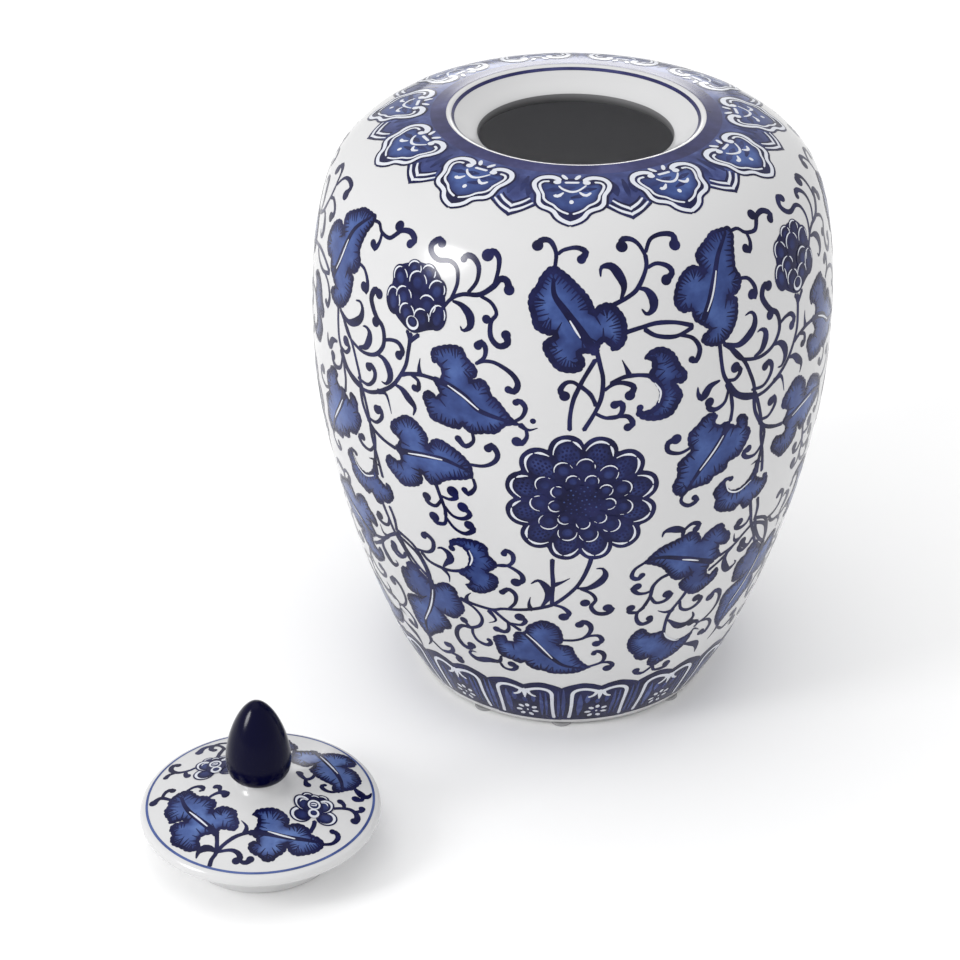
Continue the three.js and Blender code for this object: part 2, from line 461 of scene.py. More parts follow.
    def leaf(self, runs, rib, gleam, ribs=(2.8, 2.6, 2.0, 1.2), rim=1.25):
        """A shaded leaf, its dark rib and the pale line beside it. rim is its dark border's width in mm."""
        self.shaded(self.border(runs), 4.6 * rim**0.5, rim)
        if rib:
            self.stroke("dark", 3, pairs(rib), ribs, tip=True)
        if gleam:
            self.stroke("white", 4, pairs(gleam), [0.4, 0.8, 0.8, 0.5])

    def arc(self, paint, level, u, v, rx, ry, lean, start, end, widths):
        """Part of an oval, from one angle to another, measured from the petal's tip."""
        a = np.radians(np.linspace(start, end, 15))
        x, y, turn = rx * np.sin(a), ry * np.cos(a), math.radians(lean)
        k = float(self.scale(v + self.shift[1]))
        across = x * math.cos(turn) - y * math.sin(turn)
        up = x * math.sin(turn) + y * math.cos(turn)
        self.stroke(paint, level, np.stack([u + across / k, v + up], 1), widths)

    def petal(self, level, u, v, rx, ry, lean, rim, white):
        """A rounded petal: dark rim, white border, blue heart towards its root."""
        a = math.radians(lean)
        k = float(self.scale(v + self.shift[1]))
        root = np.array([math.sin(a) / k, -math.cos(a)]) * ry * 0.14
        heart = u + root[0], v + root[1]
        wide, tall = rx - rim - white, ry - rim - white
        self.dot("dark", level, u, v, rx, ry, lean, 26)
        self.dot("white", level + 1, u, v, rx - rim, ry - rim, lean, 26)
        self.dot("dark", level + 2, *heart, wide, tall, lean, 22)
        self.dot("deep", level + 3, *heart, wide * 0.72, tall * 0.72, lean, 18)

    def scale_petal(self, level, u, v, rx, ry, lean):
        """A petal of a closed bud: dark, with a thin white line inside its rim and a blue heart."""
        self.dot("dark", level, u, v, rx, ry, lean, 26)
        turn = self.random.uniform(-18, 18)
        self.dot("deep", level + 1, u, v - 0.12 * ry, rx * 0.46, ry * 0.5, lean, 22)
        line = u, v, rx * 0.8, ry * 0.8, lean
        self.arc("white", level + 3, *line, -95 + turn, 20 + turn, [0.3, 0.6, 0.7, 0.3])
        self.arc("white", level + 3, *line, 48 + turn, 100 + turn, [0.3, 0.6, 0.3])


def lay(drawing, place, spots, name, body, node, wash=WASH):
    """Lays a drawing on the glaze at each spot, as one piece for each kind of paint."""
    looks = {"dark": DARK, "deep": DEEP, "wash": wash, "band": BAND, "white": RESERVE}
    for paint, parts in drawing.parts.items():
        if not parts:
            continue
        uv, lifts, tones, faces, count = [], [], [], [], 0
        for du, dv in spots:
            for part, triangles, lift, tone in parts:
                uv.append(part + [du, dv])
                lifts.append(lift)
                tones.append(tone)
                faces.append(triangles + count)
                count += len(part)
        uv, faces = np.vstack(uv), np.vstack(faces)
        points, normals = place(uv[:, 0], uv[:, 1], np.concatenate(lifts))
        a, b, c = (points[faces[:, i]] for i in range(3))
        facing = np.einsum("ij,ij->i", np.cross(b - a, c - a), normals[faces[:, 0]])
        faces[facing < 0] = faces[facing < 0][:, ::-1]
        tones = np.concatenate(tones)
        build(f"{name}_{paint}", points, faces, looks[paint], body, [node], normals, tones)


# ------------------------------------------------------------------ glazed bodies

FOOT = bend((63.4, 1.6), (64.6, 1.6), (65.0, 2.8))
CREST = bend((53.0, 255.1), (50.5, 255.5), (49.6, 254.3), 6)
MOUTH = bend((40.4, 247.9), (39.1, 246.9), (39.1, 245.3), 5)
outer = np.vstack([
    [(0, 6.6), (30, 6.6), (56.0, 6.6), (56.8, 6.3), (57.6, 4.6), (58.0, 2.9), (58.5, 2.0), (59.4, 1.6)],
    FOOT, spaced(WALL, 2.0)[1:], CREST[1:],
    [(47.6, 252.6), (45.4, 251), (43.6, 249.9), (41.8, 248.9)], MOUTH[:3],
])
inner_wall = WALL - WALL_THICKNESS * np.stack([WALL_SLOPE[:, 1], -WALL_SLOPE[:, 0]], 1)
inner_wall = inner_wall[(inner_wall[:, 0] > 56) & (inner_wall[:, 1] > 22)]
lip = np.vstack([MOUTH[2:], [(39.3, 244.3), (40, 243.2), (43, 243.2), (47, 245.5)]])
inner = np.vstack([
    [(47, 245.5), (51.5, 248.2)], spaced(inner_wall[::-1], 3.0),
    [(61.5, 15.2), (59.5, 13.8), (55, 13), (0, 13)],
])
turned("jar_shell", outer, JAR_AXIS, JAR_SIDES, PORCELAIN, "jar", ["jar_body"])
# The mouth's lip carries the dark grey painted shade.
turned("mouth_lip_painted_shade", lip, JAR_AXIS, JAR_SIDES, LIP_PAINTED_SHADE, "jar", ["jar_body"])
turned("jar_inner", inner, JAR_AXIS, 192, INSIDE, "jar", ["jar_body"])

lid_outline = np.vstack([
    [(0, 21), (10, 20.7), (16, 20.2), (22, 18.2), (27.1, 16.3), (26.6, 1.1), (26.9, 0.4), (27.7, 0)],
    bend((29.9, 0), (31, 0), (31.5, 1.4)),
    [(33.6, 8.3), (35.6, 15.1), (36.0, 15.8), (36.8, 16.3), (41, 16.3)],
    LID_EDGE, LID_DOME[1:], [(8.5, 34.2), (8.2, 34.6), (0, 34.6)],
])
turned("lid_shell", lid_outline, LID_AXIS, 224, PORCELAIN, "lid", ["lid"])

KNOB_SEAT, KNOB_TALL, KNOB_WIDE = 34.9, 35.3, 12.9
KNOB_LOWER_POWER = 0.171  # how fast the egg opens above its seat
KNOB_UPPER_POWER = 0.555  # how fast it closes towards its tip


def egg_width(up):
    return up**KNOB_LOWER_POWER * (1 - up) ** KNOB_UPPER_POWER


widest = KNOB_LOWER_POWER / (KNOB_LOWER_POWER + KNOB_UPPER_POWER)
steps = (1 - np.cos(np.linspace(0, math.pi, 60)[1:-1])) / 2
egg = egg_width(steps) / egg_width(widest)
knob_outline = np.vstack([
    [(0, KNOB_SEAT), (7.2, KNOB_SEAT), (7.6, KNOB_SEAT + 0.02)],
    np.column_stack([KNOB_WIDE * egg, KNOB_SEAT + KNOB_TALL * steps])[2:],
    [(0, KNOB_SEAT + KNOB_TALL)],
])
turned("knob_shell", knob_outline, LID_AXIS, 128, KNOB, "lid", ["lid_knob"])

pad_outline = [(0, 0), (4.2, 0), (4.5, 0.12), (4.6, 0.3), (4.55, 0.7), (4.35, 1.22), (4.1, 1.3), (0, 1.3)]
for i in range(1, 9):
    low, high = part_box(f"foot_pad_{i}")
    turned(f"pad_{i}", pad_outline, (low + high) / 2, 40, PAD, "jar", [f"foot_pad_{i}"])

# ------------------------------------------------------------------ the jar's main field


def flower_column(d):
    """The sprays at the front: sprigs, a large flower and the leaves around its stem."""
    # the rising sprigs under the collar
    d.curl(1.25, -6, 240, -6, 245, -7.5, 249.3, -9.5, 249.6, -10.4, 247.3)
    d.curl(1.0, -5.5, 244.5, -4.2, 246.2, -1.3, 247.2, 0.8, 245.5, -0.2, 242.7)
    d.leaf(
        [(-6, 240, -3.3, 237, -0.8, 233, 1.3, 229, 2.4, 225),
         (2.4, 222.7, 3.3, 225, 5.4, 226.3, 7.1, 224.8, 8.8, 221, 9.4, 217, 9.4, 212.7, 8.3, 208.8,
          6.5, 207.6, 6, 209.5),
         (4.6, 211.5, 3.6, 209),
         (3.3, 207, 1.7, 207),
         (0, 206.8, 0.8, 203.3, 0.2, 200.2, -1.7, 199, -4.6, 200, -6.5, 204, -7.7, 208, -7.5, 211),
         (-5.4, 213.8, -7.1, 213.8, -9.6, 216, -10.4, 220.5, -11.2, 225, -11, 229, -9.6, 232.6, -9.2, 235,
          -7.5, 239)],
        (3, 207, 0, 215, -3.3, 223, -5.8, 229, -6.2, 235), (-0.2, 213, -1.3, 216.2, -2.4, 219.5),
        ribs=(3.6, 3.4, 2.6, 1.4), rim=2.2,
    )
    d.stem(6.7, 225.5, 10, 228.3, 12.1, 231.4, 14.2, 238.4, 14.4, 243)
    d.curl(1.3, 14.4, 243, 13.3, 247.4, 11.7, 249.8, 9.6, 250, 9.2, 247.2)
    d.curl(1.3, 14.6, 244.3, 16.3, 249, 19.2, 250.5, 22.1, 249.4, 21.9, 245.5)
    d.curl(1.2, 14.6, 238.4, 16.7, 239.6, 19.2, 238, 20, 235.3, 18.5, 233)
    d.leafy(12.1, 231, 13.8, 230.2, 15.2, 226.7, 15.2, 222.8, 13.8, 220.9, 12.8, 222.8)
    d.leafy(8.3, 227.5, 9, 232.2, 7.9, 237, 6.3, 240, 4.2, 239.6, 4, 236.5)
    d.stem(9.4, 214.6, 12.1, 215.8, 15.8, 217, 20, 216.2, 23.8, 213.8)
    d.stem(13.3, 215, 15.8, 212, 20, 210.7, 23.8, 213)
    d.curl(0.8, 20.8, 211, 23.8, 208.8, 25.4, 204, 24.6, 199.4, 23.5, 200.2)
    # stems between the leaf and the chrysanthemum
    d.stem(3.3, 207, 4, 201.7, 4.6, 196.3, 4.4, 189.2, 3.3, 183, 1, 174.8)
    d.stem(2.9, 204, 0.8, 197, -0.2, 193, -1.3, 187.7, -1.9, 180.6, -1.9, 174.8)
    d.stem(0, 193.5, 2.1, 190, 3.3, 185.3)
    d.curl(1.2, 0, 193, -1.3, 195, -2.9, 194.7, -4, 191.6, -3.1, 189.2)
    d.curl(1.2, 5, 191.6, 6.7, 193.9, 8.8, 194.3, 11, 192.3, 10.2, 188.8)
    d.curl(1.0, 3.3, 181.8, 5.4, 179.8, 7.9, 180.2, 8.8, 183, 8.5, 185.7, 7.1, 185.3)
    d.curl(1.0, 5.4, 179.8, 7.9, 180.2, 10, 179.8, 11, 176.7, 10, 175.2)
    d.stem(6.3, 194.3, 8.8, 196.6, 11.7, 197, 14.2, 196.3)
    d.thorn(10, 197, 9.4, 200, 8.5, 203.5)
    d.leaf(
        [(13.1, 203.3, 14.2, 206, 16.3, 207.3, 18.3, 206, 19.8, 203.3, 21, 198.6, 22.3, 195.5, 22.3, 192.7,
          21.3, 191.2),
         (19.6, 192, 20.8, 189.2, 21.5, 186, 20.6, 182.2, 19.2, 178.3, 16.3, 177, 13.3, 178, 11.7, 180.6),
         (12.3, 183.4, 12.9, 181.4, 15, 182.2, 16.3, 185.3, 16.5, 189.2, 15.4, 193),
         (13.8, 196, 14.8, 199.4, 14.6, 202.5)],
        None, (15.4, 193, 16.7, 189, 16.3, 184.5), rim=2.1,
    )
    d.dot("dark", 0, 12.4, 183.2, 1.4)
    chrysanthemum(d, 1.1, 141.7)
    # stems below the chrysanthemum
    d.stem(-5, 111.5, -5, 105, -4.8, 98, -5, 89.7, -5, 86.5)
    d.stem(3.8, 114, 3.3, 109, 2.1, 102, 0.4, 96, -2.5, 89.7, -5, 85.8, -7.5, 83.8, -10, 82.3, -13.3, 81,
           -17.5, 80, -20, 78.4, -25, 79, -28.5, 80.5)
    d.thorn(-4.6, 97.5, -2.8, 99.2, -1, 101.5)
    d.leafy(-7.5, 84.5, -6, 89.7, -5.8, 93.6, -6.9, 97.5, -8.3, 99.5, -9.8, 97.5)
    d.thorn(-10.2, 82, -10.6, 85.5, -10.2, 89.3)
    d.curl(0.8, -15.6, 81, -14, 85, -13.8, 89.7, -15.4, 92.4, -17.1, 90)
    d.leafy(0.8, 96, 3.5, 96, 6, 99, 7.2, 103, 6.5, 106.5, 5.2, 106.8)
    d.curl(1.2, 1.7, 95.5, 4.2, 92.8, 5.4, 88.9, 4.4, 85, 5.8, 81, 8.3, 80.3, 9.6, 82.7, 8.5, 83.8)
    d.dot("dark", 0, 2.9, 87.3, 2.1)
    d.curl(1.3, -5, 86, -2.5, 84.6, -0.8, 81, -2.1, 78.8)
    d.stem(-20, 78.4, -17.1, 73.3, -15, 70.5, -13.3, 68.2)
    d.leaf(
        [(-12.1, 66.6, -11.3, 71.3, -10, 73.3, -7.5, 75.8, -5, 74.5, -3.3, 71.7, -2.5, 67.8, -2.3, 63),
         (-3.3, 60.8, 0, 59.6, 1, 55.3, 2.5, 50.6, 4.6, 46.7),
         (6.3, 45.9, 3.3, 42.8, 0.8, 41.3, -5, 40.9, -7.5, 42.4, -10, 42.8, -12.1, 45.2),
         (-12.7, 47.5, -14.2, 45.9, -16.7, 47.5, -19.2, 48.7, -20.2, 51.4, -20.6, 56, -21, 60, -19.6, 62.3,
          -17.5, 63, -17.1, 60),
         (-15.2, 60, -15, 64.7, -13.8, 67)],
        (-12.1, 67, -10, 62.3, -7.5, 56, -5, 51.4, -1.7, 46.7, 3.3, 44.8), (-11.7, 66.3, -9, 61, -5, 51.5),
    )
    d.curl(1.3, -15.4, 71.7, -12.9, 71.7, -11.7, 74.5, -13.1, 76.5)
    d.curl(1.0, -16.3, 72, -16.3, 67.8, -17.5, 65.5, -19.6, 66.3)
    d.thorn(-21, 77, -19.5, 72, -21.5, 69.5)
    d.curl(1.1, -2.1, 63.8, 0.8, 63.9, 3.3, 65.5, 4.8, 69.4, 4.6, 73.3, 2.9, 75.8, 1.9, 74)
    d.curl(1.1, 3.3, 65.5, 5, 66.6, 7.1, 66.3, 8.1, 63, 6.7, 61.2)
    d.curl(0.7, 5.8, 46, 8.8, 48.3, 9.4, 52.2, 8.3, 55.3, 6.7, 56, 6.3, 54.5)
    d.curl(1.2, 7.5, 47, 9, 48, 11.3, 47.5, 12.1, 45.2, 10.8, 43.6)
    d.leafy(-19.6, 48.3, -20.4, 44.4, -23.8, 43.6, -27.5, 42, -29.6, 44.4, -29, 46.5, -27.5, 46.7)
    d.curl(1.1, -20.2, 43.6, -19.2, 40.5, -16.7, 40, -15.4, 42.8, -16.7, 44)


def chrysanthemum(d, u, v):
    """A round flower of twelve petals around two rings of small ones, about 62 mm across."""
    k = float(d.scale(v))

    def polar(radius, degrees):
        a = np.radians(degrees)
        return np.column_stack([u + radius * np.sin(a) / k, v + radius * np.cos(a)])

    side = np.linspace(-1, 1, 17)
    centres = [15 + 30 * i for i in range(12)]
    sizes = [31.2 + d.random.uniform(-0.8, 0.5) for _ in centres]
    tips = side[:-1]
    outline = np.vstack([
        polar(size - 4.2 * np.abs(tips) ** 2.4, c + 15 * tips) for c, size in zip(centres, sizes)
    ])
    d.fill("dark", 0, closed(outline, 0.6))
    for c, size in zip(centres, sizes):
        edge = polar(size - 3.6 - 5.0 * np.abs(side) ** 2.6, c + 11.6 * side)
        root = polar(np.full(9, 15.0), c + np.linspace(9.5, -9.5, 9))
        d.fill("deep", 1, np.vstack([edge, root]), soft=1.6)
        rim = size - 2.3 - 4.6 * np.abs(side) ** 2.2
        split = int(d.random.integers(8, 13))
        d.stroke("white", 3, polar(rim[:split], c + 13.0 * side[:split]), [0.3, 0.7, 1.2, 0.4])
        d.stroke("white", 3, polar(rim[split:], c + 13.0 * side[split:]), [0.3, 1.2, 0.8, 0.3])
        for row, reach in enumerate(np.arange(17.4, 26.5, 1.75)):
            for turn in np.arange(-7.5, 8, 3.75) + (1.8 if row % 2 else 0):
                if abs(turn) < 8.5 - max(0, reach - 24) * 1.5:
                    spot = polar(reach + d.random.uniform(-0.3, 0.3), c + turn + d.random.uniform(-0.5, 0.5))
                    d.dot("dark", 2, *spot[0], 0.5, 0.62, -c, 8)
    for count, radius, rx, ry, start, level in ((11, 16.4, 4.4, 4.6, 4, 4), (9, 10.6, 3.4, 3.4, 18, 6)):
        for i in range(count):
            c = start + 360 * i / count + d.random.uniform(-2, 2)
            spot = polar(radius, c)[0]
            d.dot("dark", level, *spot, rx, ry, -c)
            d.dot("deep", level + 1, *spot, rx * 0.5, ry * 0.5, -c, 14)
            turn = d.random.uniform(-35, 35)
            line = *spot, rx - 0.7, ry - 0.7, -c
            d.arc("white", level + 1, *line, -95 + turn, 30 + turn, [0.2, 0.5, 0.65, 0.25])
            d.arc("white", level + 1, *line, 50 + turn, 92, [0.2, 0.45, 0.2])
    d.dot("dark", 8, u, v, 8.2)
    for i in range(44):
        spot = polar(1.15 * math.sqrt(i + 0.6), i * 137.5)[0]
        d.dot("deep" if i % 3 else "wash", 9, *spot, 0.42, 0.42, 0, 8)


def vine_column(d):
    """The vine beside the flower: leaves and tendrils, a drooping sprig and a closed bud."""
    d.curl(1.2, -29.3, 80, -25.5, 77.2, -23.4, 71.7, -24.3, 66.3, -27.2, 63, -29.7, 62.7, -31.8, 59.2,
           -32.6, 53.8, -31.3, 49, -29.3, 48.3, -28.4, 50.6)
    d.dot("dark", 0, -29, 66.6, 1.9)
    d.stem(-29, 66.6, -28.2, 64.6, -27.2, 63)
    d.curl(0.7, -26.8, 62.7, -27, 59.2, -25.9, 55.3, -23.4, 54, -22, 56, -22.4, 57.7)
    d.thorn(-27, 80, -26.6, 83, -25.4, 85.5)
    d.leaf(
        [(-37.2, 85, -36.3, 82.7, -33.8, 85.8, -31.8, 87, -29.7, 85, -29.3, 81, -28.4, 77.2, -28.2, 73.3,
          -29.7, 69.4, -31.8, 65.9, -34.7, 65.9),
         (-35.9, 66.6, -34.3, 63, -33.8, 59.6, -34.7, 56.9, -36.8, 55.3, -38, 52.2, -40.9, 49, -43.4, 45.2),
         (-44.7, 42.8, -47.2, 48.3, -48.2, 53, -48.4, 59.2, -48.8, 63, -48, 67, -45.5, 69.4),
         (-41.8, 70.9, -46.3, 71.7, -47.4, 77.2, -47.4, 82, -46.3, 85, -44.7, 85.8, -44.3, 89, -42.2, 91,
          -40.3, 89.7, -40.1, 87.3, -38.4, 85)],
        (-37, 85.5, -37, 79.5, -38, 73.3, -40, 65.5, -43.4, 56, -44.5, 47),
        (-37, 79.5, -38, 73.3, -40, 65.5, -43.4, 56),
    )
    d.thorn(-44.3, 43.5, -45, 40, -46.8, 36.6)
    d.curl(1.0, -43.8, 41.5, -40.5, 38, -37.6, 39.3, -35.9, 42, -36.3, 45.2, -37.6, 44.4)
    d.curl(1.3, -40.5, 38, -37.6, 39.3, -35.9, 39.3, -33.8, 38.5, -34.3, 36.6)
    d.leaf(
        [(-29, 108.4, -29.2, 112.3, -27, 115, -24.6, 116, -22, 116, -20, 114, -19.8, 110, -18.3, 107,
          -17.9, 104.5, -19.2, 101.8),
         (-20.4, 100.2, -18.3, 98.7, -17.9, 95.2, -18.8, 91.3, -20.8, 88.5, -22.5, 87, -25, 87),
         (-26.5, 89.7, -25, 92, -26.3, 94.4, -27.9, 95.5, -27.5, 97.5, -25.4, 100.6, -24.6, 105.3,
          -25.2, 109.2, -26.7, 111.2, -28.3, 110.8)],
        None, (-24.4, 110, -23.8, 106, -24.6, 101.8),
    )
    d.dot("dark", 0, -28.9, 108.6, 1.6)
    d.stem(-38, 99.8, -36.3, 96.7, -33.4, 95.5, -30, 95.5, -26.8, 97.5)
    d.curl(0.8, -17.9, 104.9, -15.4, 105.7, -14, 108.4, -14, 112.3, -15.4, 113.9, -16, 112)
    d.curl(1.3, -17.9, 104.9, -15.4, 105.7, -12.3, 102.2, -11.9, 98.3, -13.5, 97)
    d.thorn(-32.2, 95.2, -30.9, 92, -31, 88.5)
    d.leafy(-32, 96.5, -31, 99, -29.7, 102, -30, 105.2, -31.7, 106.9, -32.8, 106)
    d.curl(0.9, -39.9, 100.6, -36.3, 101.4, -34.3, 104.5, -34, 109.2, -35.9, 111.6, -36.5, 110)
    d.stem(-45, 106, -40.5, 102.2, -38, 95.2, -37, 89.7, -37, 85.8)
    d.stem(-45, 105.3, -43.4, 98.3, -40.9, 92, -37.6, 86.6)
    d.curl(1.2, -42.8, 97.5, -44.7, 92, -46.8, 92.8, -47.8, 95.9)
    # the drooping sprig
    d.stem(-31.3, 140.5, -30.3, 134.2, -29.5, 128.8, -29.5, 125.6)
    d.curl(1.5, -30, 135, -28, 134.6, -26.3, 136.6, -27.2, 138.9)
    d.curl(1.4, -29.5, 130.3, -27.6, 126.4, -25, 126.4, -23.4, 129.5, -25, 132.3)
    d.curl(1.3, -29.5, 124.8, -27.6, 120.2, -25, 118.6, -22.8, 121.7, -23.8, 123.7)
    d.curl(1.2, -30.3, 132.7, -31.8, 129, -33.8, 129.5, -34, 132.3)
    d.curl(1.4, -29.5, 126, -29.5, 124, -30, 121, -32.2, 120.2, -32.6, 122.9)
    d.leaf(
        [(-41.8, 150.6, -40.3, 155.3, -42.6, 158, -42.4, 162, -40.5, 165, -38.4, 167.7, -35.9, 167,
          -33.8, 163.8, -32.8, 161),
         (-33, 155.6, -31.8, 160.3, -29.7, 162, -26.8, 160, -24.3, 157.2, -22.6, 153.3),
         (-22.2, 148.3, -24.3, 146.3, -27.2, 144.8, -29.3, 142.8, -30.9, 140, -33, 139.7),
         (-35, 144.4, -34.7, 139.7, -35.9, 136.6, -38, 134.6, -40.5, 133.4, -42.4, 135.8, -44.7, 139.7,
          -44.9, 142.8, -43.8, 145.5, -42.2, 144.8, -40.7, 144.8, -40.3, 147.5)],
        (-41, 150, -34.3, 152.2, -28.8, 153.4, -23.4, 151.0), (-38, 150.6, -33.8, 152.2, -29.3, 153),
    )
    d.curl(0.8, -22.2, 147.5, -21.8, 143.6, -23.4, 139.7, -24.3, 141.3)
    d.curl(1.0, -23.8, 154, -20, 154.5, -17.5, 157.2, -16.7, 161, -17.9, 164.6, -18.8, 163)
    d.stem(-50, 157, -48, 153.8, -45, 151.4, -41.8, 150.2)
    d.leaf(
        [(-32, 197, -31.8, 200.2, -29.7, 202.5, -27.2, 204, -25, 203.7, -23.8, 200.2, -21.8, 197,
          -21.5, 193.9),
         (-23, 190.8, -20.4, 192.7, -18.8, 190, -18.3, 187, -16.7, 184.5, -15, 180.6, -13.3, 177),
         (-12.1, 175.5, -15, 174.4, -17, 170.5, -19.2, 169.7, -22, 168.5, -23.8, 169.7),
         (-24.4, 172, -25, 169.3, -27.5, 169, -30, 169.7, -31.8, 170.5, -33, 175.2, -33.8, 179, -33, 181.8,
          -31.8, 182.2),
         (-30.5, 180.6, -29.7, 183, -30.9, 187, -29.7, 188.4, -29.3, 192.3, -30.5, 195, -31.5, 195)],
        (-31, 188, -27.6, 187, -23.8, 183.8, -20.5, 179, -13, 176),
        (-27.8, 187, -24.3, 183.8, -20.9, 179.5),
    )
    d.curl(0.9, -21.7, 198.6, -20, 200.2, -17.5, 200.2, -14.2, 197, -12.7, 193, -13.3, 189.6, -14.6, 190)
    d.curl(1.0, -21.7, 198.6, -20, 201.7, -19.8, 205.6, -20.8, 207.6, -21.5, 206)
    d.curl(0.8, -13.3, 176.7, -11.7, 179, -11, 183, -12.1, 185.7, -13, 185)
    d.dot("dark", 0, -9.4, 177.7, 1.2)
    d.thorn(-12, 175.5, -10.4, 173.6, -8.5, 174.8)
    d.curl(1.2, -10.8, 173.6, -10.6, 170.5, -11.7, 167.3, -12.7, 168)
    d.curl(0.9, -22.3, 169, -22, 165, -23.8, 162, -25.4, 164.6)
    # the bud, its stem and its sprigs
    d.fill("dark", 0, d.border(
        [(-44.2, 212, -44, 219, -43.4, 227, -40, 231, -37, 232.4, -33, 231.6, -30.6, 226, -29.6, 219,
          -30, 210, -33.4, 207, -37, 204.2, -40.6, 207, -44.2, 212)]
    ))
    for n, (u, v, rx, ry, lean) in enumerate((
        (-38.4, 229.4, 3.8, 3.5, 8), (-34.6, 229.6, 3.7, 3.4, -8), (-41.8, 224.4, 4.2, 4.8, 20),
        (-32.0, 223.8, 4.2, 4.8, -20), (-42.9, 214.6, 4.0, 6.0, 10), (-31.2, 213.6, 4.0, 5.8, -10),
        (-37, 225.0, 5.0, 4.8, 0), (-40.2, 217.6, 4.6, 4.6, 15), (-33.9, 217.2, 4.6, 4.6, -15),
        (-38.9, 211.6, 4.4, 4.4, 10), (-35, 211.4, 4.4, 4.4, -10),
    )):
        d.scale_petal(1 + n // 2, u, v, rx, ry, lean)
    d.petal(7, -37.2, 208.2, 3.6, 3.4, 180, 0.6, 0.7)
    d.stem(-38.4, 204, -37.8, 202, -37.6, 200)
    d.stem(-35.5, 204, -36.6, 202, -37.6, 200)
    d.stem(-37.4, 203.5, -37.8, 196, -38.5, 189, -41.3, 180, -44.7, 174.5, -48.8, 170.5, -52.5, 170,
           -55.5, 171.5, -58.8, 176, -60, 180)
    d.curl(1.2, -30.5, 216.6, -28.4, 222, -25.8, 224.8, -22, 226, -19.2, 229.8, -17.9, 233, -16.3, 232.8,
           -15.6, 229.5)
    d.curl(1.4, -19, 230.6, -18.5, 236, -18.8, 240.8, -20.4, 243, -21.5, 241.2)
    d.curl(0.8, -24.6, 226, -23, 230.6, -23, 236, -24.6, 239.2, -26.3, 239.6, -26.9, 238)
    d.curl(1.0, -28.4, 222, -27.4, 228.3, -28, 233.8, -30, 236, -33, 235.3, -35, 237, -35.7, 240,
           -34.3, 242.7, -33.2, 241.6)
    d.curl(1.1, -21.7, 225.5, -19.2, 223.6, -17.9, 219.7, -19, 216.2, -18.8, 210.3, -17, 207.2,
           -15.2, 208.8, -15.6, 212)
    d.dot("dark", 0, -20, 217, 1.8)
    d.leafy(-27.9, 221.3, -25.8, 220.5, -23.8, 217.3, -23.5, 213, -25, 210.7, -25.6, 212)
    d.curl(1.2, -60, 197, -57.2, 190, -54.7, 187.7, -50.9, 186.5, -47.2, 188.4, -45, 193, -44.7, 197.8,
           -45.5, 201.7, -47.2, 203.7, -48.8, 207.2, -49.7, 211, -48.8, 214.6, -47.4, 213.8)
    d.dot("dark", 0, -47.6, 202, 2.1)
    d.curl(1.1, -44.7, 196.3, -42.6, 197.8, -40.5, 197.8, -39.3, 195, -40.3, 192.7)
    d.leafy(-46.8, 188.8, -44.7, 188.4, -43, 185.3, -42.6, 181.4, -43.8, 178, -45, 178)
    d.leafy(-52.6, 187.7, -50.5, 189.2, -49.3, 193, -49.3, 196.3, -50.5, 197.8, -51.5, 197.4)
    d.leafy(-60, 197, -57.2, 195, -54.7, 196.6, -52.6, 200, -52.2, 204, -53.2, 206.4, -54.7, 206)
    d.curl(1.2, -49.3, 158, -47.2, 158, -45.3, 162, -45.9, 165.4, -46.8, 164.2)
    d.curl(1.1, -53, 173.6, -49.7, 173.2, -47.6, 176.7, -47.2, 180.6, -48.4, 182.6, -49.3, 181.4)
    d.thorn(-46.3, 172.8, -43.8, 173.2, -42.4, 165.8)
    d.leafy(-41.3, 179.5, -39.3, 178.7, -37.6, 176, -35.9, 172.8, -36.3, 169.3)
    d.stem(-39.3, 185, -37.6, 186.5, -34.3, 188, -30.5, 188)
    d.thorn(-34.7, 188.4, -34.9, 191.5, -34.7, 194.7)
    d.curl(0.9, -36.8, 186.5, -35, 185, -35, 181.4, -35.9, 181.4)
    # the other half of the column, drawn a quarter turn on
    d.shift = np.array([-92.0, -6.0])
    d.leaf(
        [(37.5, 247.4, 32.5, 247.4, 30.4, 245.5, 27, 241.6, 26.3, 238.4),
         (27.9, 232.2, 26.7, 235.3, 24.6, 236.5, 22, 233.8, 20.4, 229, 20, 223.6, 21.7, 219.7),
         (23.8, 219.7, 24.4, 215.8),
         (25.4, 214.2),
         (27.9, 210.7, 26.3, 208.8, 26, 206.4, 27.9, 204, 30.8, 203.7, 33.3, 207.2, 34.8, 212, 35.2, 216.6,
          35, 220.5),
         (32.5, 221.3, 35.4, 222, 36.7, 225.2, 36.7, 228.3, 35.8, 231.4, 36, 235.3, 36.7, 240, 37.7, 244)],
        (26.7, 215.8, 28.3, 222, 30, 230.6, 32, 238.4, 35.8, 245.5), (27.5, 218, 29, 223.6, 30.6, 232.6),
    )
    d.curl(1.0, 37.9, 245.5, 39.6, 245.5, 41.3, 243, 44.2, 242.3, 45.8, 244.7, 47, 247, 49.6, 247.8,
           51.5, 245.5, 50.6, 243.5)
    d.dot("dark", 0, 45.8, 248.2, 2.2)
    d.curl(1.0, 41.5, 243, 41.7, 239.2, 40.8, 236, 39.8, 237.3)
    d.curl(1.2, 36.7, 227, 38.8, 226, 40.4, 222, 40.4, 218, 39.4, 219.3)
    d.stem(30.2, 204, 30.6, 196.3, 31.3, 190, 32.9, 185.3, 35.4, 180, 39.6, 177)
    d.stem(32.9, 185.3, 33.3, 180.6, 33.8, 174.4, 33.5, 169)
    d.stem(31.3, 203.3, 34.2, 198.6, 36.7, 193, 38.3, 187, 39.6, 180.6, 39.8, 174.4, 40.4, 169, 42, 163.4,
           43.8, 158, 43.8, 152.5, 43.3, 146, 43.3, 138)
